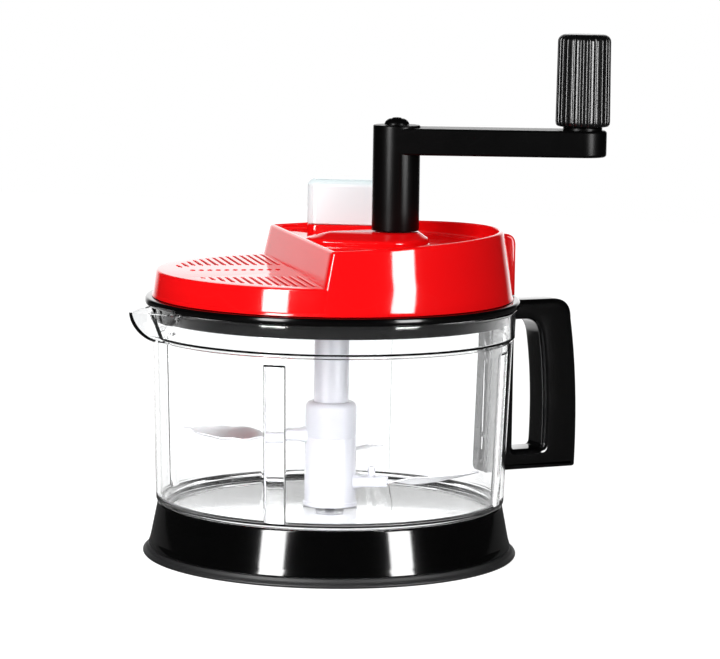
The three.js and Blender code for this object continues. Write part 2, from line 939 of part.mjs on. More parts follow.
function lidShell() {
  const far = lidFootRadius + cutOver;
  const wallTopAt = (height) => {
    const share = (height - deckHeight) / (rimCentreHeight - deckHeight);
    return -chordFoot + chordLean * share;
  };
  const aboveDeck = across([
    [-far, deckHeight],
    [wallTopAt(deckHeight), deckHeight],
    [wallTopAt(lidTopHeight), lidTopHeight + cutOver],
    [-far, lidTopHeight + cutOver],
  ]);
  const ceiling = recessFloor - lidWall;
  const hollow = common(
    lidCone(lidWall, lidBottom - cutOver, ceiling),
    across([
      [-far, lidBottom - cutOver],
      [far, lidBottom - cutOver],
      [far, ceiling],
      [wallTopAt(ceiling) + lidWall, ceiling],
      [wallTopAt(deckHeight) + lidWall, deckHeight - lidWall],
      [-far, deckHeight - lidWall],
    ]),
  );
  const recess = common(
    lidCone(rimWidth, recessFloor, lidTopHeight + cutOver),
    across([
      [wallTopAt(recessFloor) + rimWidth, recessFloor],
      [far, recessFloor],
      [far, lidTopHeight + cutOver],
      [wallTopAt(lidTopHeight) + rimWidth, lidTopHeight + cutOver],
    ]),
  );
  return cut(lidCone(0, lidBottom, lidTopHeight), rimPlane(), aboveDeck, hollow, recess);
}

function thumbTab() {
  const inner = lidTopRadius - lidWall;
  const tabReach = lidTopRadius + tabStandoff;
  const tabTop = lidTopHeight - tabDrop;
  const shape = new THREE.Shape();
  shape.moveTo(inner, lidBottom);
  shape.lineTo(tabReach, lidBottom);
  shape.lineTo(tabReach, tabTop - tabCorner);
  shape.quadraticCurveTo(tabReach, tabTop, tabReach - tabCorner, tabTop);
  shape.lineTo(inner, tabTop);
  const tab = slab(shape, tabWidth, plateRound);
  return cut(tab, lidCone(lidWall / 2, lidBottom - cutOver, lidTopHeight));
}

// Where the grater's slots stand: rows that run back from the chord wall, kept off the rim.
function slotPlaces() {
  const reach = lidDeckRadius - slotMargin;
  const near = chordFoot + slotMargin / 2;
  const rows = [];
  for (let row = 0; row < slotRearRows; row += 1) rows.push(slotRearStart + slotRowPitch * row);
  for (let row = 0; row < slotFrontRows; row += 1) rows.push(-slotFrontStart - slotRowPitch * row);
  return rows.flatMap((y) => {
    const corner = Math.abs(y) + slotLength / 2;
    if (Math.hypot(near + slotWidth, corner) > reach) return [];
    const far = Math.sqrt(reach * reach - corner * corner);
    const count = Math.floor((far - near) / slotPitch) + 1;
    return Array.from({ length: count }, (_, i) => ({ x: -near - i * slotPitch, y }));
  });
}

function graterCuts() {
  const bottom = deckHeight - lidWall - cutOver;
  const top = deckHeight + cutOver;
  const halfWidth = slotWidth / 2;
  const halfLength = slotLength / 2;
  const cuts = slotPlaces().map(({ x, y }) =>
    block(-halfWidth, halfWidth, -halfLength, halfLength, bottom, top).translate(x, y, 0));
  for (let i = 1; i <= dotCount; i += 1) {
    const x = -chordFoot - slotMargin / 2 - dotPitch * i;
    if (Math.hypot(x, dotOffset) > lidDeckRadius - slotMargin) break;
    cuts.push(rod(dotRadius, bottom, top, dotSegments).translate(x, -dotOffset, 0));
  }
  return cuts;
}

function lidBosses() {
  return lidScrewPlaces().map(({ x, y }) => {
    const top = x < -chordFoot ? deckHeight - lidWall / 2 : recessFloor - lidWall / 2;
    return rod(lidBossRadius, webTop + gap, top, screwSegments).translate(x, y, 0);
  });
}

function lidCover() {
  const ceiling = recessFloor - lidWall;
  const island = prism(islandOutline(0), recessFloor - lidWall / 2, islandTop, islandBevel);
  const under = prism(islandOutline(-lidWall), ceiling - cutOver, islandTop - lidWall);
  const sleeve = rod(spindleRadius + gap + bearingWall, gearHubTop + gap, islandTop - lidWall / 2);
  const stub = union(
    rod(pinionStubRoot, gearBottom + gearHeight + 2 * gap, islandTop - lidWall / 2),
    rod(pinionStubRadius, gearBottom + gearHeight - pinionStubDepth, islandTop - lidWall, screwSegments),
  );
  const chuteOuter = atChute(prism(chuteOutline(0), chuteBottom, chuteTop));
  const chuteInner = atChute(prism(chuteOutline(-chuteWall), chuteBottom - cutOver, chuteTop + cutOver));
  const screwRoomTop = webBottom + lidScrewLength + gap;
  const screwRoom = lidScrewPlaces().map(({ x, y }) =>
    rod(screwShankRadius + gap, webTop - cutOver, screwRoomTop, screwSegments).translate(x, y, 0));
  const shell = cut(union(lidShell(), island), under);
  return cut(
    union(shell, sleeve.translate(crankOffset, 0, 0), stub, chuteOuter, thumbTab(), ...lidBosses()),
    rod(spindleRadius + gap, gearHubTop - cutOver, islandTop + cutOver).translate(crankOffset, 0, 0),
    chuteInner,
    ...screwRoom,
    ...graterCuts(),
  );
}

function lidScrew({ x, y }) {
  return geometryOf(panScrew(lidScrewLength)).rotateX(Math.PI).translate(x, y, webBottom - gap);
}

// Gears

function involute(angle) {
  return Math.tan(angle) - angle;
}

// A spur gear's outline: involute flanks, thinned for backlash, with a straight run to the root.
function gearOutline(teeth) {
  const pitch = (gearModule * teeth) / 2;
  const base = pitch * Math.cos(radians(pressureAngle));
  const tip = pitch + gearModule * addendumFactor;
  const root = pitch - gearModule * dedendumFactor;
  const atPitch = (Math.PI * gearModule) / 2 / 2 - toothBacklash / 2;
  const halfAngle = (r) => {
    const flank = r > base ? involute(Math.acos(base / r)) : 0;
    return atPitch / pitch + involute(radians(pressureAngle)) - flank;
  };
  const start = Math.max(root, base);
  const undercut = base - root > gearModule / 4;
  const flank = [start, tip];
  const points = [];
  for (let i = 0; i < teeth; i += 1) {
    const centre = (2 * Math.PI * i) / teeth;
    const add = (r, a) => points.push([r * Math.cos(centre + a), r * Math.sin(centre + a)]);
    if (undercut) add(root, -halfAngle(base));
    flank.forEach((r) => add(r, -halfAngle(r)));
    [...flank].reverse().forEach((r) => add(r, halfAngle(r)));
    if (undercut) add(root, halfAngle(base));
  }
  return outline(points);
}

function driveGear() {
  const top = gearBottom + gearHeight;
  const journalBottom = bearingBottom + journalFloor;
  const shoulder = islandTop - spindleDrop;
  const root = (gearModule * gearTeeth) / 2 - gearModule * dedendumFactor;
  const teeth = prism(gearOutline(gearTeeth), gearBottom, top).rotateZ(Math.PI / gearTeeth);
  const hollow = lathe(
    [
      [gearHubRadius, top - gearWebDrop],
      [root - gearRimWidth, top - gearWebDrop],
      [root - gearRimWidth, top + cutOver],
      [gearHubRadius, top + cutOver],
    ],
    shaftSegments,
  );
  const spindle = lathe(
    [
      [0, journalBottom],
      [journalRadius, journalBottom],
      [journalRadius, gearBottom],
      [gearHubRadius, gearBottom],
      [gearHubRadius, gearHubTop],
      [spindleRadius, gearHubTop],
      [spindleRadius, shoulder],
      [0, shoulder],
    ],
    shaftSegments,
  );
  const square = polygonRod(driveSquare, 4, shoulder - cutOver, driveTop);
  const drive = square.rotateZ(radians(crankRestTurn));
  const thread = rod(crankScrewRadius + boreGap, driveTop - crankScrewReach - gap, driveTop + cutOver, screwSegments);
  return cut(union(cut(teeth, hollow), spindle, drive), thread);
}

function drivePinion() {
  const top = gearBottom + gearHeight;
  const teeth = prism(gearOutline(pinionTeeth), bearingTop + gap, top);
  const root = (gearModule * pinionTeeth) / 2 - gearModule * dedendumFactor;
  const neck = rod(root, bearingTop - cutOver, gearBottom + cutOver);
  const journal = rod(pinionJournalRadius, bearingBottom - gap, bearingTop);
  const socket = polygonRod(socketFlats, 6, bearingBottom - cutOver, bearingTop);
  const bore = rod(pinionStubRadius + boreGap, top - pinionStubDepth - gap, top + cutOver, screwSegments);
  return cut(union(teeth, neck, journal), socket, bore);
}

// Crank

function armPlan(offset) {
  const near = postTopRadius - offset;
  const far = armEndRadius - offset;
  const shape = new THREE.Shape();
  shape.absarc(0, 0, near, Math.PI / 2, 1.5 * Math.PI);
  shape.absarc(crankRadius, 0, far, -Math.PI / 2, Math.PI / 2);
  return shape;
}

// The hollow under the arm, between the post and the grip's boss, with cross ribs left standing.
function armHollow() {
  const from = postTopRadius + armWall;
  const to = crankRadius - armEndRadius;
  const half = postTopRadius - armWall;
  const length = (to - from - (armRibCount - 1) * armWall) / armRibCount;
  const bays = [];
  for (let i = 0; i < armRibCount; i += 1) {
    const x = from + i * (length + armWall);
    bays.push(block(x, x + length, -half, half, armBottom - cutOver, armTop - armFloor));
  }
  return bays;
}

function crankArm() {
  const postBottom = islandTop + postClearance;
  const arm = prism(armPlan(0), armBottom, armTop, armBevel);
  const post = lathe(
    [
      [0, postBottom],
      [postFootRadius, postBottom],
      [postTopRadius, armBottom + armBevel],
      [headRadius, armTop - armBevel],
      [headRadius, headTop - armBevel / 2],
      [headRadius - armBevel / 2, headTop],
      [0, headTop],
    ],
    shaftSegments,
  );
  const collar = rod(collarRadius, armTop - cutOver, armTop + collarRise).translate(crankRadius, 0, 0);
  const socket = polygonRod(driveSquare + 2 * gap, 4, postBottom - cutOver, driveTop + gap);
  const bore = rod(crankScrewRadius + boreGap, driveTop, headTop + cutOver, screwSegments);
  const pinBoreTop = armTop + collarRise + cutOver;
  const pinBore = rod(gripPinRadius + gap, armBottom - cutOver, pinBoreTop, screwSegments);
  const headTopHeight = armBottom + gripPinHeadHeight + 2 * gap;
  const pinHead = rod(gripPinHeadRadius + gap, armBottom - cutOver, headTopHeight, screwSegments);
  return cut(
    union(arm, post, collar),
    socket,
    bore,
    ...armHollow(),
    pinBore.translate(crankRadius, 0, 0),
    pinHead.translate(crankRadius, 0, 0),
  );
}

// A long screw with a domed head that holds the crank on the gear's spindle.
function crankScrew() {
  const shankBottom = driveTop - crankScrewReach;
  const bottom = headTop + gap;
  const dome = [];
  const steps = cornerSegments + 1;
  for (let i = 0; i <= steps; i += 1) {
    const a = (Math.PI / 2) * (i / steps);
    dome.push([capRadius * Math.cos(a), bottom + capRise * Math.sin(a)]);
  }
  dome[dome.length - 1][0] = 0;
  const head = lathe(
    [
      [0, shankBottom],
      [crankScrewRadius, shankBottom],
      [crankScrewRadius, bottom],
      ...dome,
    ],
    shaftSegments,
  );
  const ringInner = capRadius / 2 - capRingWidth / 2;
  const ringOuter = ringInner + capRingWidth;
  const ringTop = bottom + capRise;
  const domeShare = Math.sqrt(1 - Math.pow(ringOuter / capRadius, 2));
  const ringFloor = bottom + capRise * domeShare - capRingDepth;
  const ring = lathe(
    [
      [ringInner, ringFloor],
      [ringOuter, ringFloor],
      [ringOuter, ringTop],
      [ringInner, ringTop],
    ],
    shaftSegments,
  );
  return cut(head, ring);
}

function gripPin() {
  const bottom = armBottom + gap;
  const top = gripTop - gripPinShort;
  return lathe(
    [
      [0, bottom],
      [gripPinHeadRadius, bottom],
      [gripPinHeadRadius, bottom + gripPinHeadHeight],
      [gripPinRadius, bottom + gripPinHeadHeight],
      [gripPinRadius, top - pinChamfer],
      [gripPinRadius - pinChamfer, top],
      [0, top],
    ],
    screwSegments,
  );
}

// The fluted grip: round lands with narrow grooves between, tapering to a low dome.
function gripRing(radius, depth, height) {
  const landShares = [-0.28, 0.28, 0.5];
  const points = [];
  for (let i = 0; i < gripFluteCount; i += 1) {
    for (const share of landShares) {
      const a = (2 * Math.PI * (i + share)) / gripFluteCount;
      const r = radius - (share === 0.5 ? depth : depth * Math.pow(2 * Math.abs(share), 4));
      points.push(new THREE.Vector3(r * Math.cos(a), r * Math.sin(a), height));
    }
  }
  return points;
}

function grip() {
  const shoulder = gripTop - gripDome;
  const body = loft([
    gripRing(gripFootRadius - gripFluteDepth, gripFluteDepth / 2, gripBottom),
    gripRing(gripFootRadius, gripFluteDepth, gripBottom + gripFluteDepth),
    gripRing(gripTopRadius, gripFluteDepth, shoulder),
    gripRing(gripTopRadius * 0.84, gripFluteDepth / 2, shoulder + gripDome * 0.65),
    gripRing(gripTopRadius * 0.45, 0, gripTop),
  ]);
  const bore = rod(gripPinRadius + boreGap, gripBottom - cutOver, gripTop - gripPinShort + gap, screwSegments);
  return cut(body, bore);
}

// Rotor

function rotorShaft() {
  const bottom = hubBottom + hubFloor + gap;
  const shaft = rod(shaftRadius, bottom, shaftTop);
  const hex = polygonRod(driveHexFlats, 6, shaftTop - cutOver, bearingTop - driveHexShort);
  const bore = rod(pinRadius + boreGap, bottom - cutOver, pinTop + gap, screwSegments);
  return cut(union(shaft, hex), bore);
}

// A blade's arm on the hub, along +X, with its slot for the blade's root.
function carrier(height) {
  const section = (x, width, tall) => {
    const edge = tall / 4;
    const w = width / 2;
    const h = tall / 2;
    return [
      [-w + edge, -h], [w - edge, -h], [w, -h + edge], [w, h - edge],
      [w - edge, h], [-w + edge, h], [-w, h - edge], [-w, -h + edge],
    ].map(([y, z]) => new THREE.Vector3(x, y, height + z));
  };
  const root = (shaftRadius + hubRadius) / 2;
  return loft([
    section(root, carrierRootWidth, carrierRootHeight),
    section(hubRadius + hubShoulder, (carrierRootWidth + carrierTipWidth) / 2, carrierTipHeight),
    section(carrierReach, carrierTipWidth, carrierTipHeight),
  ]);
}

function bladeSlot(height) {
  const half = bladeTipWidth / 2 + bladeThickness + gap;
  const tall = bladeThickness / 2 + gap;
  const x = carrierReach - bladeTuck - gap;
  return block(x, carrierReach + cutOver, -half, half, height - tall, height + tall);
}

function bladePlaces() {
  return [
    { name: "upper_blade", height: hubBottom + upperBladeLift, turn: upperBladeTurn, rise: upperBladeRise },
    { name: "middle_blade", height: hubBottom + middleBladeLift, turn: middleBladeTurn, rise: middleBladeRise },
    { name: "lower_blade", height: lowerBladeHeight, turn: lowerBladeTurn, rise: lowerBladeRise },
  ];
}

function bladeHub() {
  const seam = hubTop - hubSeamDrop;
  const sleeve = lathe(
    [
      [pinRadius + 2 * gap, hubBottom],
      [hubLipRadius, hubBottom],
      [hubLipRadius, hubBottom + hubLipHeight],
      [hubRadius, hubBottom + hubLipHeight + (hubLipRadius - hubRadius)],
      [hubRadius, seam - hubSeamWidth],
      [hubRadius - hubSeamDepth, seam],
      [hubRadius, seam + hubSeamWidth],
      ...arcProfile(hubRadius - hubShoulder, hubTop - hubShoulder, hubShoulder, 0, 90),
      [shaftRadius + gap, hubTop],
      [shaftRadius + gap, hubBottom + hubFloor],
      [pinRadius + 2 * gap, hubBottom + hubFloor],
    ],
    shaftSegments,
  );
  const places = bladePlaces();
  const carriers = places.map(({ height, turn }) => carrier(height).rotateZ(radians(turn)));
  const slots = places.map(({ height, turn }) => bladeSlot(height).rotateZ(radians(turn)));
  const pegTop = lowerBladeHeight + carrierTipHeight / 2 + pegRise;
  const peg = lathe(
    [[0, lowerBladeHeight], [pegRadius, lowerBladeHeight], [pegTopRadius, pegTop], [0, pegTop]],
    screwSegments,
  );
  peg.translate(pegOffset, 0, 0).rotateZ(radians(lowerBladeTurn));
  const bore = rod(shaftRadius + gap, hubBottom + hubFloor, hubTop + cutOver);
  return cut(union(sleeve, ...carriers, peg), bore, ...slots);
}

// A swept blade along +X: a flat tongue in the arm, then a pitched, scalloped body up to its tip.
function blade(height, rise) {
  const rings = [];
  const tongueEnd = carrierReach + gap;
  const bladeTip = bowlFootRadius - bladeClearance;
  const section = (x, width, pitch, sweep, lift) => {
    const w = width / 2;
    const t = bladeThickness / 2;
    const c = Math.cos(pitch);
    const s = Math.sin(pitch);
    return [[-w, 0], [-w + 2 * t, -t], [w - 2 * t, -t], [w, 0], [w - 2 * t, t], [-w + 2 * t, t]].map(
      ([y, z]) => new THREE.Vector3(x, sweep + y * c - z * s, height + lift + y * s + z * c),
    );
  };
  const tongue = bladeTipWidth + 2 * bladeThickness;
  rings.push(section(carrierReach - bladeTuck, tongue, 0, 0, 0));
  rings.push(section(tongueEnd, tongue, 0, 0, 0));
  for (let i = 1; i <= bladeStations; i += 1) {
    const share = i / bladeStations;
    const x = tongueEnd + (bladeTip - tongueEnd) * share;
    const swell = Math.pow(Math.sin(Math.PI * Math.min(1, Math.pow(share, 1.1) * 1.12)), 0.7);
    const scallop = bladeScallop * Math.sin(2 * Math.PI * bladeScallopCount * share) * swell;
    const taper = tongue + (bladeTipWidth - tongue) * share;
    const width = taper + (bladeWidth - taper) * Math.max(0, swell) + scallop;
    const pitch = radians(bladeRootAngle + (bladeTipAngle - bladeRootAngle) * share) * Math.min(1, 4 * share);
    const sweep = -bladeSweep * share * share + bladeBelly * Math.max(0, swell) / 2;
    rings.push(section(x, width, pitch, sweep, rise * share * share));
  }
  return loft(rings);
}

// Pusher

function pusher() {
  const seat = chuteTop + gap;
  const pusherTop = chuteTop + pusherRise;
  const pusherBottom = chuteBottom + pusherShort;
  const stem = prism(chuteOutline(-chuteWall - gap), pusherBottom, seat + cutOver);
  const round = prism(chuteOutline(0), seat, pusherTop, pusherRound);
  const square = prism(chuteOutline(0), seat, pusherTop - pusherRound - gap);
  const hollowTop = pusherTop - pusherWall - pusherRound;
  const inner = chuteOutline(-chuteWall - gap - pusherWall);
  const hollow = prism(inner, pusherBottom - cutOver, hollowTop);
  return atChute(geometryOf(cut(union(stem, round, square), hollow)));
}

// Assembly

const glossBlack = finish(0x0b0b0c, 0.16);
const satinBlack = finish(0x121213, 0.42);
const rubberBlack = finish(0x151515, 0.75);
const glossRed = finish(0xf2090d, 0.18);
const clearPlastic = finish(0xeef2f4, 0.05, 0, 0.22);
const milkWhite = finish(0xf4f2fb, 0.4);
const naturalNylon = finish(0xe9e6dc, 0.5);
const steel = finish(0xc4c6ca, 0.24, 1);

const chopper = new THREE.Group();
chopper.name = "crank_food_chopper";

chopper.add(
  piece("foot_ring", footRing(), rubberBlack),
  piece("base_ring", baseRing(), glossBlack),
  piece("bowl", bowl(), clearPlastic),
  piece("blade_pin", bladePin(), steel),
  piece("handle", handle(), glossBlack),
  piece("handle_screw_upper", handleScrew(railTop - handleScrewInset), steel),
  piece("handle_screw_lower", handleScrew(railBottom + handleScrewInset), steel),
);

const lid = new THREE.Group();
lid.rotation.z = radians(lidTurn);
lid.add(
  piece("gear_plate", gearPlate(), satinBlack),
  piece("lid_cover", lidCover(), glossRed),
  piece("drive_pinion", drivePinion(), naturalNylon),
  piece("pusher", pusher(), milkWhite),
);
lidScrewPlaces().forEach((spot, i) => {
  lid.add(piece(`lid_screw_${i + 1}`, lidScrew(spot), steel));
});
chopper.add(lid);

const crank = new THREE.Group();
crank.position.x = crankOffset;
crank.add(piece("drive_gear", driveGear(), naturalNylon));
const arm = new THREE.Group();
arm.rotation.z = radians(crankRestTurn);
arm.add(piece("crank_arm", crankArm(), satinBlack), piece("crank_screw", crankScrew(), satinBlack));
const gripAxis = new THREE.Group();
gripAxis.position.x = crankRadius;
gripAxis.add(piece("grip_pin", gripPin(), steel), piece("grip", grip(), satinBlack));
arm.add(gripAxis);
crank.add(arm);
lid.add(crank);

const rotor = new THREE.Group();
rotor.rotation.z = radians(lidTurn);
rotor.add(
  piece("rotor_shaft", rotorShaft(), milkWhite),
  piece("blade_hub", bladeHub(), milkWhite),
);
for (const { name, height, turn, rise } of bladePlaces()) {
  const mesh = piece(name, blade(height, rise), steel);
  mesh.rotation.z = radians(turn);
  rotor.add(mesh);
}
chopper.add(rotor);

export default chopper;
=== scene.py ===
# %% [markdown]
# # A hand cranked food chopper
# The real thing is a clear bowl on a black base, with a red lid that holds a grater deck and a pair
# of gears, a crank with a fluted grip, and a rotor with three blades. The CAD solids are loaded as a
# fixed frame, and every visible piece is then made finer than its solid, in the same place.

# %% Load the frame
from math import acos, atan2, cos, pi, radians, sin, sqrt, tan

import bmesh
import bpy
from mathutils import Matrix, Vector


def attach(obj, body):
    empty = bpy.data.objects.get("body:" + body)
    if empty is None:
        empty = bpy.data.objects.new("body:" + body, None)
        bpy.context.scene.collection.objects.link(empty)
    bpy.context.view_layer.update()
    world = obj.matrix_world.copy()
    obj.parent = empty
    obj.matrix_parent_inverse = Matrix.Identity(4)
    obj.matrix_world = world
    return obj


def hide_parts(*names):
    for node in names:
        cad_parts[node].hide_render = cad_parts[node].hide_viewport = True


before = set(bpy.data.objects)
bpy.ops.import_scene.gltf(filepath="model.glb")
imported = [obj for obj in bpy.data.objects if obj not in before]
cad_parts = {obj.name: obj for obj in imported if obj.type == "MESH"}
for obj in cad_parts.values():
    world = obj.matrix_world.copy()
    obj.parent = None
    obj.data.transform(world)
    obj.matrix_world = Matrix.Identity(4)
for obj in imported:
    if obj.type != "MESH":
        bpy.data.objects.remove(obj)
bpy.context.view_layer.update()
MM = 0.001

# %% [markdown]
# ## The camera
# The photograph was taken with a long lens from a little above the lid. Its place, its aim and a
# roll of less than one degree were worked out from the ellipses of the bowl and the known heights.
# A camera could be aimed with a Track To constraint, but writing its three axes keeps the small roll.

# %% Camera
eye = Vector((-0.7386, -1.6137, 0.3546))
forward = Vector((0.42094, 0.89827, -0.12615)).normalized()
roll = 0.01452
level = forward.cross(Vector((0, 0, 1))).normalized()
right = cos(roll) * level + sin(roll) * level.cross(forward)
up = right.cross(forward)

camera_data = bpy.data.cameras.new("photo_camera")
camera_data.sensor_width = 36
camera_data.lens = 156.29
camera_data.clip_start = 0.05
camera = bpy.data.objects.new("photo_camera", camera_data)
camera.matrix_world = Matrix((right, up, -forward)).transposed().to_4x4()
camera.matrix_world.translation = eye
bpy.context.scene.collection.objects.link(camera)
bpy.context.scene.camera = camera
print("camera distance in m:", round(eye.length, 3))

# %% [markdown]
# ## Small tools for nodes
# Geometry and shader trees are both lists of nodes with wires. One helper adds a node and feeds its
# inputs, one makes a group with named inputs and outputs, and the others are short ways to write the
# few nodes that every tree needs.


# %% Node helpers
def add_node(tree, kind, feeds=None, **settings):
    """A new node. feeds gives each input, by name or number, a value or another node's output."""
    made = tree.nodes.new(kind)
    for key, value in settings.items():
        setattr(made, key, value)
    for name, source in (feeds or {}).items():
        if isinstance(source, bpy.types.NodeSocket):
            tree.links.new(source, made.inputs[name])
        else:
            made.inputs[name].default_value = source
    return made


def new_group(name, kind, inputs, outputs):
    """A node group and its two ends. inputs and outputs map a socket's name to its kind."""
    tree = bpy.data.node_groups.new(name, kind)
    for way, sockets in (("INPUT", inputs), ("OUTPUT", outputs)):
        for label, what in sockets.items():
            tree.interface.new_socket(label, in_out=way, socket_type="NodeSocket" + what)
    return tree, tree.nodes.new("NodeGroupInput").outputs, tree.nodes.new("NodeGroupOutput").inputs


def sums(tree, operation, a, b=0, c=0, kind="ShaderNodeMath"):
    """One Math node, as a short way to write a sum."""
    return add_node(tree, kind, {0: a, 1: b, 2: c}, operation=operation).outputs[0]


def noise(tree, place, scale, detail, **feeds):
    """Soft noise from 0 to 1."""
    feeds = {"Vector": place, "Scale": scale, "Detail": detail, **feeds}
    return add_node(tree, "ShaderNodeTexNoise", feeds).outputs["Fac"]


def ramp(tree, value, start, end, low=0.0, high=1.0, way="SMOOTHSTEP"):
    """low until the value reaches start, high from end on."""
    feeds = {"Value": value, "From Min": start, "From Max": end, "To Min": low, "To Max": high}
    return add_node(tree, "ShaderNodeMapRange", feeds, interpolation_type=way).outputs[0]


def mixed(tree, share, a, b):
    """a where share is 0, b where it is 1."""
    return add_node(tree, "ShaderNodeMix", {0: share, 2: a, 3: b}).outputs[0]


def object_place(tree):
    return add_node(tree, "ShaderNodeTexCoord").outputs["Object"]


def new_material(name):
    """A material, its tree and its shader."""
    material = bpy.data.materials.new(name)
    material.use_nodes = True
    return material, material.node_tree, material.node_tree.nodes["Principled BSDF"]


print("node helpers:", *[tool.__name__ for tool in (add_node, new_group, sums, noise, ramp, mixed)])

# %% [markdown]
# ## Surface effects shared by the plastics
# Moulded plastic is never quite flat: it has a slow unevenness from cooling, and a fine grain from
# the mould. Handled plastic also has faint smudges and hairlines. Both could be painted, but noise on
# Object coordinates stays fixed to the piece, needs no picture, and can be shared as a node group.

# %% Moulded skin and handling marks
SKIN = ("Roughness", "Spread", "Grain per metre", "Grain height", "Flow height")
skin, skin_in, skin_out = new_group(
    "moulded_skin", "ShaderNodeTree", dict.fromkeys(SKIN, "Float"), {"Roughness": "Float", "Height": "Float"})
place = object_place(skin)
flow = noise(skin, place, 26.0, 2.0)
grain = noise(skin, place, skin_in["Grain per metre"], 2.0)
cloud = sums(skin, "SUBTRACT", noise(skin, place, 60.0, 5.0), 0.5)
rough = sums(skin, "MULTIPLY_ADD", cloud, skin_in["Spread"], skin_in["Roughness"])
skin.links.new(rough, skin_out["Roughness"])
low = sums(skin, "MULTIPLY", flow, skin_in["Flow height"])
skin.links.new(sums(skin, "MULTIPLY_ADD", grain, skin_in["Grain height"], low), skin_out["Height"])

marks, marks_in, marks_out = new_group(
    "handling_marks", "ShaderNodeTree",
    {"Smudges": "Float", "Hairlines": "Float"}, {"Smudge": "Float", "Hairline": "Float"})
place = object_place(marks)
patch = ramp(marks, noise(marks, place, 21.0, 4.0, Roughness=0.6), 0.52, 0.72)
marks.links.new(sums(marks, "MULTIPLY", patch, marks_in["Smudges"]), marks_out["Smudge"])
bent = add_node(marks, "ShaderNodeTexNoise", {"Vector": place, "Scale": 14.0, "Detail": 1.0}).outputs["Color"]
swirl = add_node(marks, "ShaderNodeVectorMath", {0: bent, 1: (0.05, 0.05, 0.05), 2: place},
                 operation="MULTIPLY_ADD").outputs[0]
cells = add_node(marks, "ShaderNodeTexVoronoi", {"Vector": swirl, "Scale": 48.0}, feature="DISTANCE_TO_EDGE")
line = ramp(marks, cells.outputs["Distance"], 0.0, 0.012, 1.0, 0.0, "LINEAR")
marks.links.new(sums(marks, "MULTIPLY", line, marks_in["Hairlines"]), marks_out["Hairline"])
print("groups:", skin.name, marks.name)

# %% [markdown]
# ## Finishes
# Each finish is a Principled shader with numbers for its own plastic or metal. Roughness and bump come
# from the two groups. The colours are written as they should look, because the light is plain.


# %% Plastic finishes
def bumped(tree, shader, height):
    bump = add_node(tree, "ShaderNodeBump", {"Distance": MM, "Height": height})
    tree.links.new(bump.outputs["Normal"], shader.inputs["Normal"])


def plastic(name, colour, roughness, spread=0.04, grain=1400.0, grain_height=0.0, flow_height=0.02,
            smudges=0.0, hairlines=0.0, worn=None, **sockets):
    """A moulded plastic. worn is the paler colour that hairlines show, and sockets set the shader."""
    material, tree, shader = new_material(name)
    feeds = dict(zip(SKIN, (roughness, spread, grain, grain_height, flow_height)))
    surface = add_node(tree, "ShaderNodeGroup", feeds, node_tree=skin).outputs
    feeds = {"Smudges": smudges, "Hairlines": hairlines}
    touched = add_node(tree, "ShaderNodeGroup", feeds, node_tree=marks).outputs
    tree.links.new(sums(tree, "ADD", surface["Roughness"], touched["Smudge"]), shader.inputs["Roughness"])
    bumped(tree, shader, surface["Height"])
    paint = add_node(tree, "ShaderNodeMix", {0: touched["Hairline"]}, data_type="RGBA")
    paint.inputs[6].default_value = (*colour, 1)
    paint.inputs[7].default_value = (*(worn or colour), 1)
    tree.links.new(paint.outputs[2], shader.inputs["Base Color"])
    for label, value in sockets.items():
        shader.inputs[label.replace("_", " ")].default_value = value
    return material


gloss_black = plastic("gloss_black", (0.0012, 0.0012, 0.0013), 0.085, spread=0.03, flow_height=0.03,
                      smudges=0.02, hairlines=0.08, worn=(0.01, 0.01, 0.0105))
satin_black = plastic("satin_black", (0.0014, 0.0014, 0.0015), 0.3, spread=0.08, grain=1900.0,
                      grain_height=0.006, smudges=0.03, hairlines=0.12, worn=(0.009, 0.009, 0.0095),
                      Specular_IOR_Level=0.1)
plate_black = plastic("plate_black", (0.0012, 0.0012, 0.0013), 0.12, spread=0.03, Specular_IOR_Level=0.25)
grip_black = plastic("grip_black", (0.0018, 0.0018, 0.002), 0.24, spread=0.08, grain=2300.0,
                     grain_height=0.01, smudges=0.04)
foot_rubber = plastic("foot_rubber", (0.012, 0.012, 0.013), 0.5, spread=0.15, grain=1500.0, grain_height=0.03)
gloss_red = plastic("gloss_red", (0.86, 0.0035, 0.005), 0.075, spread=0.03, flow_height=0.03,
                    smudges=0.02, hairlines=0.05, worn=(0.9, 0.05, 0.05))
milk_white = plastic("milk_white", (0.51, 0.51, 0.55), 0.3, spread=0.06, smudges=0.03, Specular_IOR_Level=0.3)
cap_white = plastic("cap_white", (0.82, 0.93, 0.95), 0.22, spread=0.06, smudges=0.03)
nylon = plastic("nylon", (0.8, 0.78, 0.71), 0.42, spread=0.1, grain_height=0.01)
print("plastics:", [m.name for m in bpy.data.materials if m.use_nodes])

# %% [markdown]
# Clear plastic bends light at both faces of its wall, so the bowl is a real shell with a refractive
# shader. Cycles would then keep the lamps out of it, so shadow rays pass straight through instead.

# %% Clear plastic
clear_plastic = plastic("clear_plastic", (0.985, 0.99, 0.992), 0.012, spread=0.008, flow_height=0.012,
                        smudges=0.02, IOR=1.52, Transmission_Weight=1.0)
tree = clear_plastic.node_tree
through = add_node(tree, "ShaderNodeBsdfTransparent", {"Color": (0.95, 0.955, 0.96, 1)})
choose = add_node(tree, "ShaderNodeMixShader", {
    0: add_node(tree, "ShaderNodeLightPath").outputs["Is Shadow Ray"],
    1: tree.nodes["Principled BSDF"].outputs[0],
    2: through.outputs[0],
})
tree.links.new(choose.outputs[0], tree.nodes["Material Output"].inputs["Surface"])
print("clear plastic index:", tree.nodes["Principled BSDF"].inputs["IOR"].default_value)

# %% [markdown]
# The blades are ground sheet steel. Their fine lines run round the shaft, as a grinding wheel leaves
# them, so the lines are noise read along the distance from the axis, and not along X or Y.


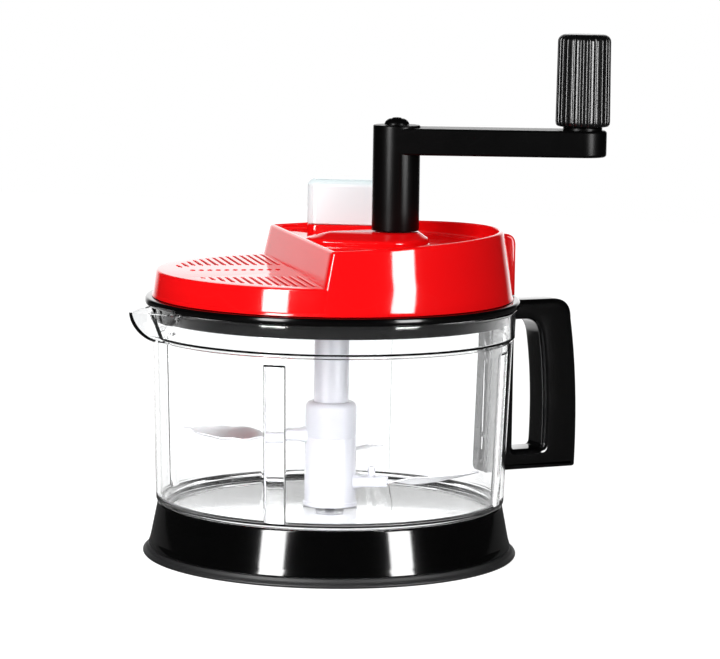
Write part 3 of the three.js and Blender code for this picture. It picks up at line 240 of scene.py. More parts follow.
# %% Steel finishes
def steel(name, colour, roughness, lines, depth):
    """Bare steel with fine lines round the Z axis. lines is how many there are in a metre."""
    material, tree, shader = new_material(name)
    spot = add_node(tree, "ShaderNodeSeparateXYZ", {0: object_place(tree)}).outputs
    squares = [sums(tree, "MULTIPLY", spot[i], spot[i]) for i in (0, 1)]
    reach = sums(tree, "SQRT", sums(tree, "ADD", *squares))
    along = add_node(tree, "ShaderNodeCombineXYZ", {
        0: sums(tree, "MULTIPLY", reach, lines), 1: sums(tree, "MULTIPLY", spot[2], 40.0)}).outputs[0]
    scratch = noise(tree, along, 1.0, 3.0)
    feeds = dict(zip(SKIN, (roughness, 0.1, 900.0, 0.0, 0.02)))
    surface = add_node(tree, "ShaderNodeGroup", feeds, node_tree=skin).outputs
    uneven = sums(tree, "SUBTRACT", scratch, 0.5)
    rough = sums(tree, "MULTIPLY_ADD", uneven, 0.12, surface["Roughness"])
    tree.links.new(rough, shader.inputs["Roughness"])
    bumped(tree, shader, sums(tree, "MULTIPLY_ADD", scratch, depth, surface["Height"]))
    shader.inputs["Base Color"].default_value = (*colour, 1)
    shader.inputs["Metallic"].default_value = 1.0
    return material


blade_steel = steel("blade_steel", (0.68, 0.68, 0.7), 0.42, 2600.0, 0.004)
screw_steel = steel("screw_steel", (0.6, 0.6, 0.61), 0.26, 5200.0, 0.003)
print("metals:", blade_steel.name, screw_steel.name)

# %% [markdown]
# ## Small tools for shapes
# All sizes below are in millimetres, as in the CAD source. A corner is never quite sharp on a moulded
# part, so `rounded` swaps each corner of an outline for an arc of its own radius.


# %% Outlines
def arc(start, end, steps):
    """Evenly spaced angles, both ends included."""
    return [start + (end - start) * k / steps for k in range(steps + 1)]


def rounded(points, steps=5, closed=False):
    """An outline with its corners rounded. A point is (x, y), or (x, y, radius)."""
    made = []
    for i, point in enumerate(points):
        here = Vector(point[:2])
        radius = point[2] if len(point) > 2 else 0
        if not radius or (not closed and i in (0, len(points) - 1)):
            made.append((here.x, here.y))
            continue
        back = Vector(points[i - 1][:2]) - here
        ahead = Vector(points[(i + 1) % len(points)][:2]) - here
        half = back.angle(ahead) / 2
        run = min(radius / tan(half), (0.499 if closed else 0.98) * min(back.length, ahead.length))
        radius = run * tan(half)
        centre = here + (back.normalized() + ahead.normalized()).normalized() * radius / sin(half)
        first = here + back.normalized() * run - centre
        last = here + ahead.normalized() * run - centre
        start = atan2(first.y, first.x)
        turn = (atan2(last.y, last.x) - start + pi) % (2 * pi) - pi
        made += [(centre.x + radius * cos(a), centre.y + radius * sin(a))
                 for a in arc(start, start + turn, steps)]
    return made


def oblong(x0, x1, y0, y1, *radius):
    """Four corners, anticlockwise, each with a radius if one is given."""
    return [(x, y, *radius) for x, y in ((x0, y0), (x1, y0), (x1, y1), (x0, y1))]


def rounded_box(length, depth, corner, steps=8):
    """A rounded rectangle round the origin, anticlockwise."""
    x, y = length / 2, depth / 2
    return rounded([(x, -y, corner), (x, y, corner), (-x, y, corner), (-x, -y, corner)], steps, closed=True)


def curved(start, bend, end, steps=14):
    """A quadratic curve from start to end, pulled towards bend."""
    return [tuple((1 - t) ** 2 * a + 2 * t * (1 - t) * b + t * t * c for a, b, c in zip(start, bend, end))
            for t in [k / steps for k in range(steps + 1)]]


print("corner points:", len(rounded_box(50, 26, 6)))

# %% [markdown]
# Meshes come from four tools: a loft that skins a stack of rings, a prism from a flat curve whose own
# bevel rounds its edges, a turned piece, and joining or cutting two closed meshes with the Boolean
# modifier. Each result is made a plain mesh, cleaned, and shaded smooth between its real edges.


# %% Mesh helpers
def link(name, data):
    made = bpy.data.objects.new(name, data)
    bpy.context.scene.collection.objects.link(made)
    return made


def plain(source):
    """The evaluated mesh of an object, which is then removed."""
    depsgraph = bpy.context.evaluated_depsgraph_get()
    mesh = bpy.data.meshes.new_from_object(
        source.evaluated_get(depsgraph), preserve_all_data_layers=True, depsgraph=depsgraph)
    bpy.data.objects.remove(source)
    return mesh


def cleaned(mesh, merge=0.0005, turn_out=False):
    """Merges doubles, drops what has no area, and can turn every face outwards."""
    work = bmesh.new()
    work.from_mesh(mesh)
    bmesh.ops.remove_doubles(work, verts=work.verts, dist=merge * MM)
    bmesh.ops.dissolve_degenerate(work, edges=work.edges, dist=merge * MM)
    if turn_out:
        bmesh.ops.recalc_face_normals(work, faces=work.faces)
    work.to_mesh(mesh)
    work.free()
    return mesh


def lofted(name, rings, tube=False):
    """Skins a stack of rings, anticlockwise seen from its end. A tube joins its last ring to its first."""
    n = len(rings[0])
    spots = [tuple(v * MM for v in point) for ring in rings for point in ring]
    faces = []
    for k in range(len(rings) if tube else len(rings) - 1):
        a, b = k * n, (k + 1) % len(rings) * n
        faces += [(a + i, a + (i + 1) % n, b + (i + 1) % n, b + i) for i in range(n)]
    if not tube:
        faces += [tuple(reversed(range(n))), tuple(range(len(spots) - n, len(spots)))]
    mesh = bpy.data.meshes.new(name)
    mesh.from_pydata(spots, [], faces)
    return link(name, cleaned(mesh))


def prism(name, outlines, bottom, top, edge=0.0, steps=4):
    """A plate from flat outlines, the first one outside and the others holes, with rounded edges."""
    curve = bpy.data.curves.new(name, "CURVE")
    curve.dimensions = "2D"
    curve.fill_mode = "BOTH"
    for outline in outlines:
        spline = curve.splines.new("POLY")
        spline.points.add(len(outline) - 1)
        for point, (x, y) in zip(spline.points, outline):
            point.co = (x * MM, y * MM, 0, 1)
        spline.use_cyclic_u = True
    curve.extrude = ((top - bottom) / 2 - edge) * MM
    curve.bevel_depth = edge * MM
    curve.bevel_resolution = steps
    curve.offset = -edge * MM
    mesh = cleaned(plain(link(name, curve)), 0.002, turn_out=True)
    mesh.transform(Matrix.Translation((0, 0, (top + bottom) / 2 * MM)))
    return link(name, mesh)


def moved(piece, matrix):
    """Puts a matrix into the mesh itself. Its shift is in millimetres."""
    matrix = matrix.copy()
    matrix.translation *= MM
    piece.data.transform(matrix)
    return piece


def upright(piece):
    """Stands a flat plate up, so that its outline lies in the XZ plane."""
    return moved(piece, Matrix.Rotation(radians(90), 4, "X"))


def combined(piece, others, operation="UNION"):
    """The first piece joined with, or cut by, the others, as one closed mesh."""
    for other in others:
        step = piece.modifiers.new(other.name, "BOOLEAN")
        step.operation = operation
        step.object = other
        step.solver = "MANIFOLD"
    name = piece.name
    mesh = cleaned(plain(piece))
    for other in others:
        bpy.data.objects.remove(other)
    return link(name, mesh)


def joined(name, *pieces):
    """Several closed meshes kept as one object, without cutting them."""
    work = bmesh.new()
    for piece in pieces:
        work.from_mesh(piece.data)
        bpy.data.objects.remove(piece)
    mesh = bpy.data.meshes.new(name)
    work.to_mesh(mesh)
    work.free()
    return link(name, mesh)


def fitted(piece, body, finish, *nodes, name=None, angle=32):
    """Gives a finished piece its name, shading, finish and body, and hides the CAD nodes it stands for."""
    piece.name = piece.data.name = name or nodes[0] + "_piece"
    piece.data.materials.clear()
    piece.data.materials.append(finish)
    piece.data.polygons.foreach_set("material_index", [0] * len(piece.data.polygons))
    piece.data.shade_smooth()
    piece.data.set_sharp_from_angle(angle=radians(angle))
    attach(piece, body)
    # The solids' materials have some of these names already, and Blender then adds a number after a dot.
    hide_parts(*nodes)
    low, high = [[round(f(c[i] for c in piece.bound_box) / MM, 1) for i in range(3)] for f in (min, max)]
    print(piece.name, "faces", len(piece.data.polygons), "box", low, high)


def about_z(turn):
    return Matrix.Rotation(radians(turn), 4, "Z")


def shift(x, y, z):
    return Matrix.Translation((x, y, z))


# %% [markdown]
# ## Turned pieces
# The bowl, the base and most of the crank are round, so their shape is a profile and a rule. The Screw
# modifier could turn them, but this tree also cuts flutes: a grid has one column for each step round
# the axis, and each of its points reads its radius and height from the profile. The flutes pull a
# point in by the fourth power of how far it is from the middle of its land, which leaves round lands
# and narrow grooves.

# %% Turning tree
def attribute(tree, name, kind):
    return add_node(tree, "GeometryNodeInputNamedAttribute", {"Name": name}, data_type=kind).outputs[0]


turning, t_in, t_out = new_group(
    "turned_piece", "GeometryNodeTree",
    {"Profile": "Object", "Segments": "Int", "Flutes": "Int", "Flute depth": "Float", "Finish": "Material"},
    {"Geometry": "Geometry"},
)
profile = add_node(turning, "GeometryNodeObjectInfo", {"Object": t_in["Profile"]}).outputs["Geometry"]
count = add_node(turning, "GeometryNodeAttributeDomainSize", {0: profile}).outputs["Point Count"]
columns = sums(turning, "ADD", t_in["Segments"], 1)
grid = add_node(turning, "GeometryNodeMeshGrid", {"Vertices X": columns, "Vertices Y": count}).outputs["Mesh"]
index = add_node(turning, "GeometryNodeInputIndex").outputs[0]
column = sums(turning, "DIVIDE_FLOOR", index, count, kind="FunctionNodeIntegerMath")
row = sums(turning, "MODULO", index, count, kind="FunctionNodeIntegerMath")
position = add_node(turning, "GeometryNodeInputPosition").outputs[0]
spot, weight = [
    add_node(turning, "GeometryNodeSampleIndex", {"Geometry": profile, "Value": value, "Index": row},
             data_type=kind).outputs[0]
    for value, kind in ((position, "FLOAT_VECTOR"), (attribute(turning, "flute", "FLOAT"), "FLOAT"))]
spot = add_node(turning, "ShaderNodeSeparateXYZ", {0: spot}).outputs
share = sums(turning, "DIVIDE", column, t_in["Segments"])
land = sums(turning, "MULTIPLY_ADD", share, t_in["Flutes"], 0.5)
off = sums(turning, "ABSOLUTE", sums(turning, "SUBTRACT", sums(turning, "FRACT", land), 0.5))
pull = sums(turning, "POWER", sums(turning, "MULTIPLY", off, 2.0), 4.0)
pull = sums(turning, "MULTIPLY", sums(turning, "MULTIPLY", pull, weight), t_in["Flute depth"])
radius = sums(turning, "SUBTRACT", spot["X"], pull)
angle = sums(turning, "MULTIPLY", share, 2 * pi)
turned_spot = add_node(turning, "ShaderNodeCombineXYZ", {
    0: sums(turning, "MULTIPLY", radius, sums(turning, "COSINE", angle)),
    1: sums(turning, "MULTIPLY", radius, sums(turning, "SINE", angle)),
    2: spot["Z"],
}).outputs[0]


def finished(tree, geometry, ends, out):
    """The end that both trees share: real copies with their finish."""
    geometry = add_node(tree, "GeometryNodeRealizeInstances", {"Geometry": geometry}).outputs[0]
    last = add_node(tree, "GeometryNodeSetMaterial", {"Geometry": geometry, "Material": ends["Finish"]})
    tree.links.new(last.outputs[0], out["Geometry"])


wall = add_node(turning, "GeometryNodeSetPosition", {"Geometry": grid, "Position": turned_spot}).outputs[0]
wall = add_node(turning, "GeometryNodeMergeByDistance", {"Geometry": wall, "Distance": 0.0000005}).outputs[0]
finished(turning, wall, t_in, t_out)


def grown(name, tree, **inputs):
    """Runs a geometry tree on an empty mesh and keeps the result as a plain mesh."""
    host = link(name, bpy.data.meshes.new(name))
    step = host.modifiers.new(tree.name, "NODES")
    step.node_group = tree
    keys = {item.name: item.identifier for item in tree.interface.items_tree if item.in_out == "INPUT"}
    for label, value in inputs.items():
        step[keys[label.replace("_", " ")]] = value
    return link(name, cleaned(plain(host)))


def marked(name, spots, **attributes):
    """Points with attributes, each a kind and its values, for a tree to read."""
    mesh = bpy.data.meshes.new(name)
    mesh.from_pydata([tuple(v * MM for v in spot) for spot in spots], [], [])
    for label, (kind, values) in attributes.items():
        made = mesh.attributes.new(label, kind, "POINT")
        made.data.foreach_set("vector" if kind == "FLOAT_VECTOR" else "value", values)
    return link(name, mesh)


def turned(name, profile, segments=160, flutes=0, depth=0.0, finish=gloss_black):
    """Turns a profile of (radius, height), anticlockwise, round Z. A third number is its share of flutes."""
    points = list(profile)
    if points[0][0] > 0 or points[-1][0] > 0:
        points.append(points[0])
    shares = [p[2] if len(p) > 2 else 0.0 for p in points]
    outline = marked(name + "_profile", [(p[0], 0, p[1]) for p in points], flute=("FLOAT", shares))
    made = grown(name, turning, Profile=outline, Segments=segments, Flutes=flutes,
                 Flute_depth=depth * MM, Finish=finish)
    bpy.data.objects.remove(outline)
    return made


def rod(radius, bottom, top, segments):
    return turned("rod", [(0, bottom), (radius, bottom), (radius, top), (0, top)], segments)


print("turning tree nodes:", len(turning.nodes))

# %% [markdown]
# ## Copies at marked places
# Screws, ribs, slots and holes repeat. One tree puts a copy of a piece on each point of a list, turned
# as the point says, and makes the copies real. Writing loops would do too, but here the piece and the
# places stay apart, so either can be changed alone.

# %% Copying tree
copying, c_in, c_out = new_group(
    "copies_at_places", "GeometryNodeTree",
    {"Places": "Object", "Piece": "Object", "Finish": "Material"}, {"Geometry": "Geometry"})
spots, single = [add_node(copying, "GeometryNodeObjectInfo", {"Object": c_in[end]}).outputs["Geometry"]
                 for end in ("Places", "Piece")]
turns = attribute(copying, "turn", "FLOAT_VECTOR")
turns = add_node(copying, "FunctionNodeEulerToRotation", {0: turns}).outputs[0]
stretch = attribute(copying, "stretch", "FLOAT")
stretch = add_node(copying, "ShaderNodeCombineXYZ", {0: 1.0, 1: stretch, 2: 1.0}).outputs[0]
finished(copying, add_node(copying, "GeometryNodeInstanceOnPoints", {
    "Points": spots, "Instance": single, "Rotation": turns, "Scale": stretch}).outputs[0], c_in, c_out)


def copies(name, piece, places, finish=gloss_black, stretch=None):
    """A copy at each place: (x, y, z) in mm, then its turns in degrees. stretch is along the copy's Y."""
    turns = [radians(v) for place in places for v in (*place[3:], 0, 0, 0)[:3]]
    points = marked(name + "_places", [place[:3] for place in places], turn=("FLOAT_VECTOR", turns),
                    stretch=("FLOAT", stretch or [1.0] * len(places)))
    made = grown(name, copying, Places=points, Piece=piece, Finish=finish)
    bpy.data.objects.remove(points)
    bpy.data.objects.remove(piece)
    return made


print("copying tree nodes:", len(copying.nodes))

# %% [markdown]
# ## Sizes that several pieces share
# These repeat the CAD's numbers. Heights are above the table. The lid, with all that it carries, is
# turned a little about the bowl's axis, and the crank is turned a little more.

# %% Shared sizes
FOOT_TOP, BASE_TOP, SHELF_TOP = 4.8, 30.3, 15.8
BOWL_BOTTOM, SHOULDER, LEDGE, BAND_BOTTOM, RIM = 16.1, 30.6, 125.2, 127.0, 143.3
FOOT_RADIUS, BASE_FOOT, BASE_WAIST, BASE_SHOULDER = 107.5, 104.2, 103.0, 98.8
BOWL_FOOT, BOWL_WAIST, LEDGE_RADIUS, BAND_RADIUS, RIM_RADIUS = 95.6, 99.8, 103.2, 104.7, 105.0
BEAD_RADIUS = RIM_RADIUS + 0.7
WEB_BOTTOM, WEB_TOP, PLATE_BOTTOM, PLATE_TOP, LID_BOTTOM = 141.5, 144.1, 143.7, 147.9, 148.2
DECK, RECESS, ISLAND, RIM_CENTRE, LID_TOP = 163.2, 177.4, 185.0, 182.6, 188.0
GAP, SCREW_WAY, CRANK_REACH = 0.3, 1.8, 105.7
LID = about_z(-13.5)
CHUTE = about_z(71) @ shift(74, 0, 0) @ about_z(90)
GEAR, ARM_END = shift(36, 0, 0), shift(CRANK_REACH, 0, 0)
AT_CHUTE = LID @ CHUTE
AT_CRANK = LID @ GEAR @ about_z(-13)
AT_GRIP = AT_CRANK @ ARM_END


def bowl_radius(z):
    """The bowl's outer radius: straight inside the base, then leaning out up to the ledge."""
    if z < SHOULDER:
        return BOWL_FOOT
    return BOWL_WAIST + (LEDGE_RADIUS - BOWL_WAIST) * (z - SHOULDER) / (LEDGE - SHOULDER)


print("crank axis in mm:", [round(v, 2) for v in AT_CRANK.translation])

# %% [markdown]
# ## Foot ring and base
# The base is a glossy black ring that flares to its foot. A soft ring under it is a little wider and
# dull, so a thin line shows between the two. Both are turned, with a real radius on each edge, because
# the radius is what catches the light.

# %% Foot ring and base
foot_ring = turned("foot_ring", rounded([
    (98.5, 0, 0.6), (106.9, 0, 1.2), (FOOT_RADIUS, 1.3, 0.8), (105.4, 2.9, 3),
    (BASE_FOOT + 0.2, FOOT_TOP, 0.4), (98.5, FOOT_TOP, 0.4),
], closed=True), segments=224)
fitted(foot_ring, "bowl_body", foot_rubber, "foot_ring")

BASE_WALL, BEND, CEILING = 2.4, 9, 13.4
slope = (BASE_WAIST - BASE_SHOULDER) / (BASE_TOP - BEND)
mouth = BOWL_FOOT + GAP
base_ring = turned("base_ring", rounded([
    (101.8, 5.1, 0.3), (BASE_FOOT, 5.1, 0.5), (BASE_WAIST, BEND, 7), (BASE_SHOULDER, BASE_TOP, 1.4),
    (mouth, BASE_TOP, 0.5), (mouth, SHELF_TOP, 0.3), (90, SHELF_TOP, 0.5), (90, CEILING, 0.5),
    (BASE_WAIST - slope * (CEILING - BEND) - BASE_WALL, CEILING, 1.0), (BASE_WAIST - BASE_WALL, BEND, 2),
], closed=True), segments=224)
rib = prism("base_rib", [oblong(90.6, 100.2, -0.9, 0.9)], 7.2, 14.2)
base_ribs = copies("base_ribs", rib, [(0, 0, 0, 0, 0, 15 * i) for i in range(24)])
fitted(joined("base", base_ring, base_ribs), "bowl_body", gloss_black, "base_ring")

# %% [markdown]
# ## The bowl
# One clear moulding: a wall that leans out a little, a ledge, a wider band with a bead at its rim, four
# ribs inside that stop food going round, a pouring spout and a rail for the handle. The wall is turned.
# It stands inside the base on a low foot, and its floor is one sheet a little below the base's edge,
# with the boss of the blade pin in its middle.
# The spout is a stack of beak outlines that reach further out towards the rim. All parts are joined
# into one shell with real Booleans, because any wall left inside clear plastic would show.

# %% Spout
SPOUT_REACH, SPOUT_HALF, KEEL_HALF, SPOUT_BEND = 124.1, 23, 1.4, 1.75


def beak(inset, bottom, top, root, levels=18, side=9):
    """The spout's solid, as a stack of beak outlines."""
    rings = []
    shoulder = BAND_RADIUS - 1.2
    for i in range(levels + 1):
        height = bottom + (RIM - bottom) * i / levels
        closed_share = min(1.0, max(0.0, (RIM - height + inset) / (RIM - LEDGE)))
        out = (1 - closed_share ** SPOUT_BEND) ** (1 / SPOUT_BEND)
        reach = BAND_RADIUS + (SPOUT_REACH - BAND_RADIUS - inset) * out
        half = KEEL_HALF + (SPOUT_HALF - inset - KEEL_HALF) * (1 - closed_share)
        edge = [(shoulder + (reach - shoulder) * (1 - (1 - t) ** 1.5), half * (1 - t) ** 1.32 * 1.02)
                for t in [k / side for k in range(side + 1)]]
        path = [(root, -half), *[(r, -y) for r, y in edge], *reversed(edge[:-1]), (root, half)]
        rings.append([(-r, -y, height) for r, y in path])
    rings.append([(x, y, top) for x, y, _ in rings[-1]])
    return lofted("beak", rings)


print("spout reach:", SPOUT_REACH)

# %% Bowl
WALL, SEEN_FLOOR = 2.4, 28.0
UNDER_FLOOR, PIN_BORE, PIN_BORE_BOTTOM, BOSS, BOSS_BOTTOM = SEEN_FLOOR - 2.6, 3.3, 18.6, 8.5, 17
bowl_shell = turned("bowl_shell", rounded([
    (0, BOSS_BOTTOM), (BOSS, BOSS_BOTTOM, 0.5), (BOSS, UNDER_FLOOR, 0.5), (BOWL_FOOT - WALL, UNDER_FLOOR, 2),
    (BOWL_FOOT - WALL, BOWL_BOTTOM, 0.4), (BOWL_FOOT, BOWL_BOTTOM, 0.6), (BOWL_FOOT, SHOULDER, 0.4),
    (BOWL_WAIST, SHOULDER, 1.4), (LEDGE_RADIUS, LEDGE, 0.6), (BAND_RADIUS, BAND_BOTTOM, 0.6),
    (RIM_RADIUS, RIM - 1.8, 0.2), (BEAD_RADIUS, RIM - 1.2, 0.5), (BEAD_RADIUS, RIM, 0.7),
    (RIM_RADIUS - WALL, RIM, 0.6),
    (BAND_RADIUS - WALL, BAND_BOTTOM + 1.2, 0.8), (LEDGE_RADIUS - WALL, LEDGE + 1.2, 0.8),
    (BOWL_WAIST - WALL, SHOULDER + WALL + 1.4, 1.5), (BOWL_FOOT - WALL, SHOULDER + WALL - 1.4, 1.5),
    (BOWL_FOOT - WALL, SEEN_FLOOR, 1), (PIN_BORE, SEEN_FLOOR, 0.2), (PIN_BORE, PIN_BORE_BOTTOM),
    (0, PIN_BORE_BOTTOM),
], steps=6), segments=192)

RIB_WIDTH, RIB_DEPTH, RIB_TOP, RIB_TURN = 12.5, 2.2, 121.0, 47.5


def rib_ring(z, shrink=1.0):
    """The section of one inner rib, a low bar with round edges that starts inside the wall."""
    outer = bowl_radius(z) - WALL / 2
    inner = outer - WALL / 2 - RIB_DEPTH * shrink
    root, crest = RIB_WIDTH / 2, RIB_WIDTH / 2 - RIB_DEPTH / 2
    bar = [(outer, -root), (inner + RIB_DEPTH / 2, -root, 0.5), (inner, -crest, 1.2), (inner, crest, 1.2),
           (inner + RIB_DEPTH / 2, root, 0.5), (outer, root)]
    return [(x, y, z) for x, y in reversed(rounded(bar, 4))]


bowl_rib = lofted("bowl_rib", [
    rib_ring(SHOULDER + 0.3), rib_ring(100), rib_ring(RIB_TOP - 1.2), rib_ring(RIB_TOP, 0.5)])
rib_places = [(0, 0, 0, 0, 0, RIB_TURN + 90 * i) for i in range(4)]
bowl_ribs = copies("bowl_ribs", bowl_rib, rib_places, clear_plastic)
RAIL_REACH, RAIL_BOTTOM, RAIL_TOP = 109.2, 46.0, 122.0
rail_foot, rail_head = bowl_radius(RAIL_BOTTOM), bowl_radius(RAIL_TOP)
rail = upright(prism("rail", [rounded([
    (rail_foot - 1.2, RAIL_BOTTOM), (rail_foot, RAIL_BOTTOM), (RAIL_REACH, RAIL_BOTTOM + 7, 1),
    (RAIL_REACH, RAIL_TOP - 7, 1), (rail_head, RAIL_TOP), (rail_head - 1.2, RAIL_TOP),
])], -3.5, 3.5, 0.5, 2))
bowl = combined(bowl_shell, [beak(0, LEDGE, RIM, BAND_RADIUS - WALL), bowl_ribs, rail])
bowl = combined(bowl, [beak(2, LEDGE + 2, RIM + 2, BAND_RADIUS - 3 * WALL)], "DIFFERENCE")
fitted(bowl, "bowl_body", clear_plastic, "bowl")

# %% [markdown]
# ## The handle
# A flat D of black plastic that slides down over the rail on the bowl and is held by two screws inside
# the finger hole. Drawn from the side as one outline with a hole, it needs only a flat curve with a
# round bevel. The bowl's own shape is then cut out of its back.

# %% Handle
HANDLE_TOP, HANDLE_BOTTOM, HANDLE_MIDDLE = 142.5, 41.9, 92.2
FINGER_TOP, FINGER_BOTTOM, SPINE = 131.0, 54.0, 113.2
outside = [
    (BOWL_FOOT, HANDLE_BOTTOM),
    *rounded([(140, HANDLE_BOTTOM), (155.2, HANDLE_BOTTOM, 1.6), (155.4, 48)])[1:-1],
    *curved((155.4, HANDLE_BOTTOM + 5), (156.9, HANDLE_MIDDLE), (150.8, HANDLE_TOP - 12)),
    *curved((150.8, HANDLE_TOP - 12), (150.8, HANDLE_TOP), (138.8, HANDLE_TOP))[1:],
    (BOWL_FOOT, HANDLE_TOP)]
finger_hole = [
    (SPINE, FINGER_BOTTOM),
    *rounded([(120, FINGER_BOTTOM), (133.1, FINGER_BOTTOM, 2.4), (133.2, 60)])[1:-1],
    *curved((133.2, FINGER_BOTTOM + 3), (134.8, 92.5), (130.1, FINGER_TOP - 9)),
    *curved((130.1, FINGER_TOP - 9), (128.1, FINGER_TOP), (121.1, FINGER_TOP))[1:], (SPINE, FINGER_TOP)]
ends = (0, len(finger_hole) - 1)
finger_hole = rounded([(*p, 2.0) if i in ends else p for i, p in enumerate(finger_hole)], closed=True)
handle = upright(prism("handle", [outside, finger_hole], -11, 11, 3.4, 7))
bowl_room = turned("bowl_room", [
    (0, SHOULDER), (BOWL_WAIST + GAP, SHOULDER), (LEDGE_RADIUS + GAP, LEDGE - GAP),
    (BAND_RADIUS + GAP, BAND_BOTTOM - GAP), (BEAD_RADIUS + GAP, RIM - 2.1), (BEAD_RADIUS + GAP, RIM + 2),
    (0, RIM + 2),
], segments=192)
groove = prism("groove", [oblong(80, RAIL_REACH + GAP, -3.8, 3.8)], RAIL_BOTTOM - GAP, RAIL_TOP + GAP)
handle = combined(handle, [bowl_room, groove], "DIFFERENCE")
fitted(handle, "bowl_body", gloss_black, "handle", angle=40)

# %% [markdown]
# ## Screws
# Six small pan head screws hold the handle and the gear plate. One screw is turned, a slot is cut in
# its head, and the copying tree sets it out. The copies are made once for each body that they ride on.


# %% Pan head screws
def pan_screw(length):
    outline = [(0, -length), (1.5, -length, 0.4), (1.5, 0), (3.2, 0, 0.2), (3.2, 1.9, 1.1), (0, 1.9)]
    slot = prism("screw_slot", [oblong(-0.45, 0.45, -5, 5)], 1.1, 4)
    return combined(turned("pan_screw", rounded(outline, 5), segments=28), [slot], "DIFFERENCE")


places = [(SPINE + GAP, 0, z, 0, 90, 0) for z in (106, 62)]
fitted(copies("handle_screws", pan_screw(9.4), places, screw_steel), "bowl_body", screw_steel,
       "handle_screw_upper", "handle_screw_lower", name="handle_screws_piece")
lid_spots = [(88 * cos(radians(a)), 88 * sin(radians(a))) for a in (28, -52, -152, 152)]
places = [(x, y, WEB_BOTTOM - GAP, 180, 0, 0) for x, y in lid_spots]
fitted(moved(copies("lid_screws", pan_screw(12), places, screw_steel), LID), "lid_body", screw_steel,
       "lid_screw_1", "lid_screw_2", "lid_screw_3", "lid_screw_4", name="lid_screws_piece")

# %% [markdown]
# ## Gear plate
# The black plate under the lid closes the gear case. Its round flange shows as a dark line between the
# bowl and the lid, and its skirt dips into the bowl. Two windows let gratings fall through. It is
# turned first, and everything that isn't round is cut out of it afterwards.

# %% Gear plate
SKIRT, SKIRT_BOTTOM, PLATE_RADIUS, LIP, PLATE_WALL = 101.6, 135.9, 107.0, 99.69, 2.2
plate = turned("gear_plate", rounded([
    (0, WEB_BOTTOM), (SKIRT - PLATE_WALL, WEB_BOTTOM, 1), (SKIRT - PLATE_WALL, SKIRT_BOTTOM, 0.6),
    (SKIRT, SKIRT_BOTTOM, 0.8), (SKIRT, PLATE_BOTTOM, 0.4), (PLATE_RADIUS, PLATE_BOTTOM, 1.2),
    (PLATE_RADIUS, PLATE_TOP, 1.4), (LIP, PLATE_TOP, 0.3), (LIP, PLATE_TOP + 2.4, 0.5),
    (LIP - 2, PLATE_TOP + 2.4, 0.5), (LIP - 3.7, PLATE_TOP, 0.5), (LIP - 3.7, WEB_TOP, 0.8), (0, WEB_TOP),
]), segments=224)
bearing, cup = [
    turned("bearing", rounded([(0, 137), (r, 137, 0.8), (r, 145.4, 0.4), (0, 145.4)]), segments=56)
    for r in (13.1, 9.5)]
plate = combined(plate, [bearing, moved(cup, GEAR)])


def bay(sign):
    """One window under the grater deck, a half of a circle's segment with round corners."""
    outer, chord, first = 87, 27, 0.0345
    last = acos(chord / outer) - 5 / outer
    edge = [(-outer * cos(a), sign * outer * sin(a)) for a in arc(first, last, 20)]
    outline = [(-chord, sign * 3), *edge, (-chord, sign * outer * sin(last - 0.06))]
    return outline if sign < 0 else list(reversed(outline))


cutters = [prism("bay", [bay(sign)], 130, 148) for sign in (-1, 1)]
cutters += [moved(prism("chute_way", [rounded_box(50.6, 26.6, 6.3)], 130, 148), CHUTE),
            rod(9.9, 130, 150, 56), moved(rod(6.3, 139.6, 150, 40), GEAR)]
cutters += [moved(rod(SCREW_WAY, 130, 150, 20), shift(x, y, 0)) for x, y in lid_spots]
plate = combined(plate, cutters, "DIFFERENCE")
fitted(moved(plate, LID), "lid_body", plate_black, "gear_plate")

# %% [markdown]
# ## The red lid
# Seen from above, the lid is a disc with a raised housing on the right of a straight, leaning wall. The
# rim round the housing is level with nothing: it rises a little towards the thumb tab. Subdivision
# surfaces would round it too much, so the housing is a stack of D shaped rings whose edges follow real
# radii, and the low grater deck is a turned disc under it. The disc is a hair smaller, so that where
# both run round the same wall only the housing shows.

# %% Housing
RIM_TILT, RIM_TURN, LID_WALL, CASE_WALL = radians(2.8), radians(-18), 2.8, 2.4
LID_KNOTS = [(LID_BOTTOM, 103.4), (LID_BOTTOM + 2, 102.4), (DECK, 100.7), (LID_TOP, 96.8)]
SIDES = {"arc": 168, "upper": 7, "chord": 30, "lower": 7}


def lid_radius(z):
    for (z0, r0), (z1, r1) in zip(LID_KNOTS, LID_KNOTS[1:]):
        if z <= z1 or z1 == LID_TOP:
            return r0 + (r1 - r0) * (max(z, LID_BOTTOM) - z0) / (z1 - z0)


def chord_at(z):
    """How far the housing's straight wall is from the axis."""
    return 23.3 - 3.9 * (z - DECK) / (RIM_CENTRE - DECK)


def rim_height(x, y):
    """The rim lies in a plane that rises towards one side of the thumb tab."""
    return RIM_CENTRE + (x * cos(RIM_TURN) + y * sin(RIM_TURN)) * tan(RIM_TILT)


def housing_ring(height, inset, corner=2.6, tilt=0.0):
    """A D shaped ring. height is its level, or with tilt 1 its height above the slanting rim."""
    ring = []
    for side, t in [(side, k / steps) for side, steps in SIDES.items() for k in range(steps)]:
        x, z = 0.0, height + tilt * rim_height(0, 0)
        for _ in range(3):
            radius, chord = lid_radius(z) - inset, chord_at(z) - inset
            round_off = max(corner - inset, 0.35)
            mid_x = round_off - chord
            mid_y = sqrt((radius - round_off) ** 2 - mid_x ** 2)
            reach = atan2(mid_y, mid_x)
            if side == "arc":
                x, y = radius * cos(reach * (2 * t - 1)), radius * sin(reach * (2 * t - 1))
            elif side == "chord":
                x, y = -chord, mid_y * (1 - 2 * t)
            else:
                sign = 1 if side == "upper" else -1
                a = reach + (pi - reach) * t if sign > 0 else pi + (pi - reach) * t
                x, y = mid_x + round_off * cos(a), sign * mid_y + round_off * sin(a)
            z = height + tilt * rim_height(x, y)
        ring.append((x, y, z))
    return ring


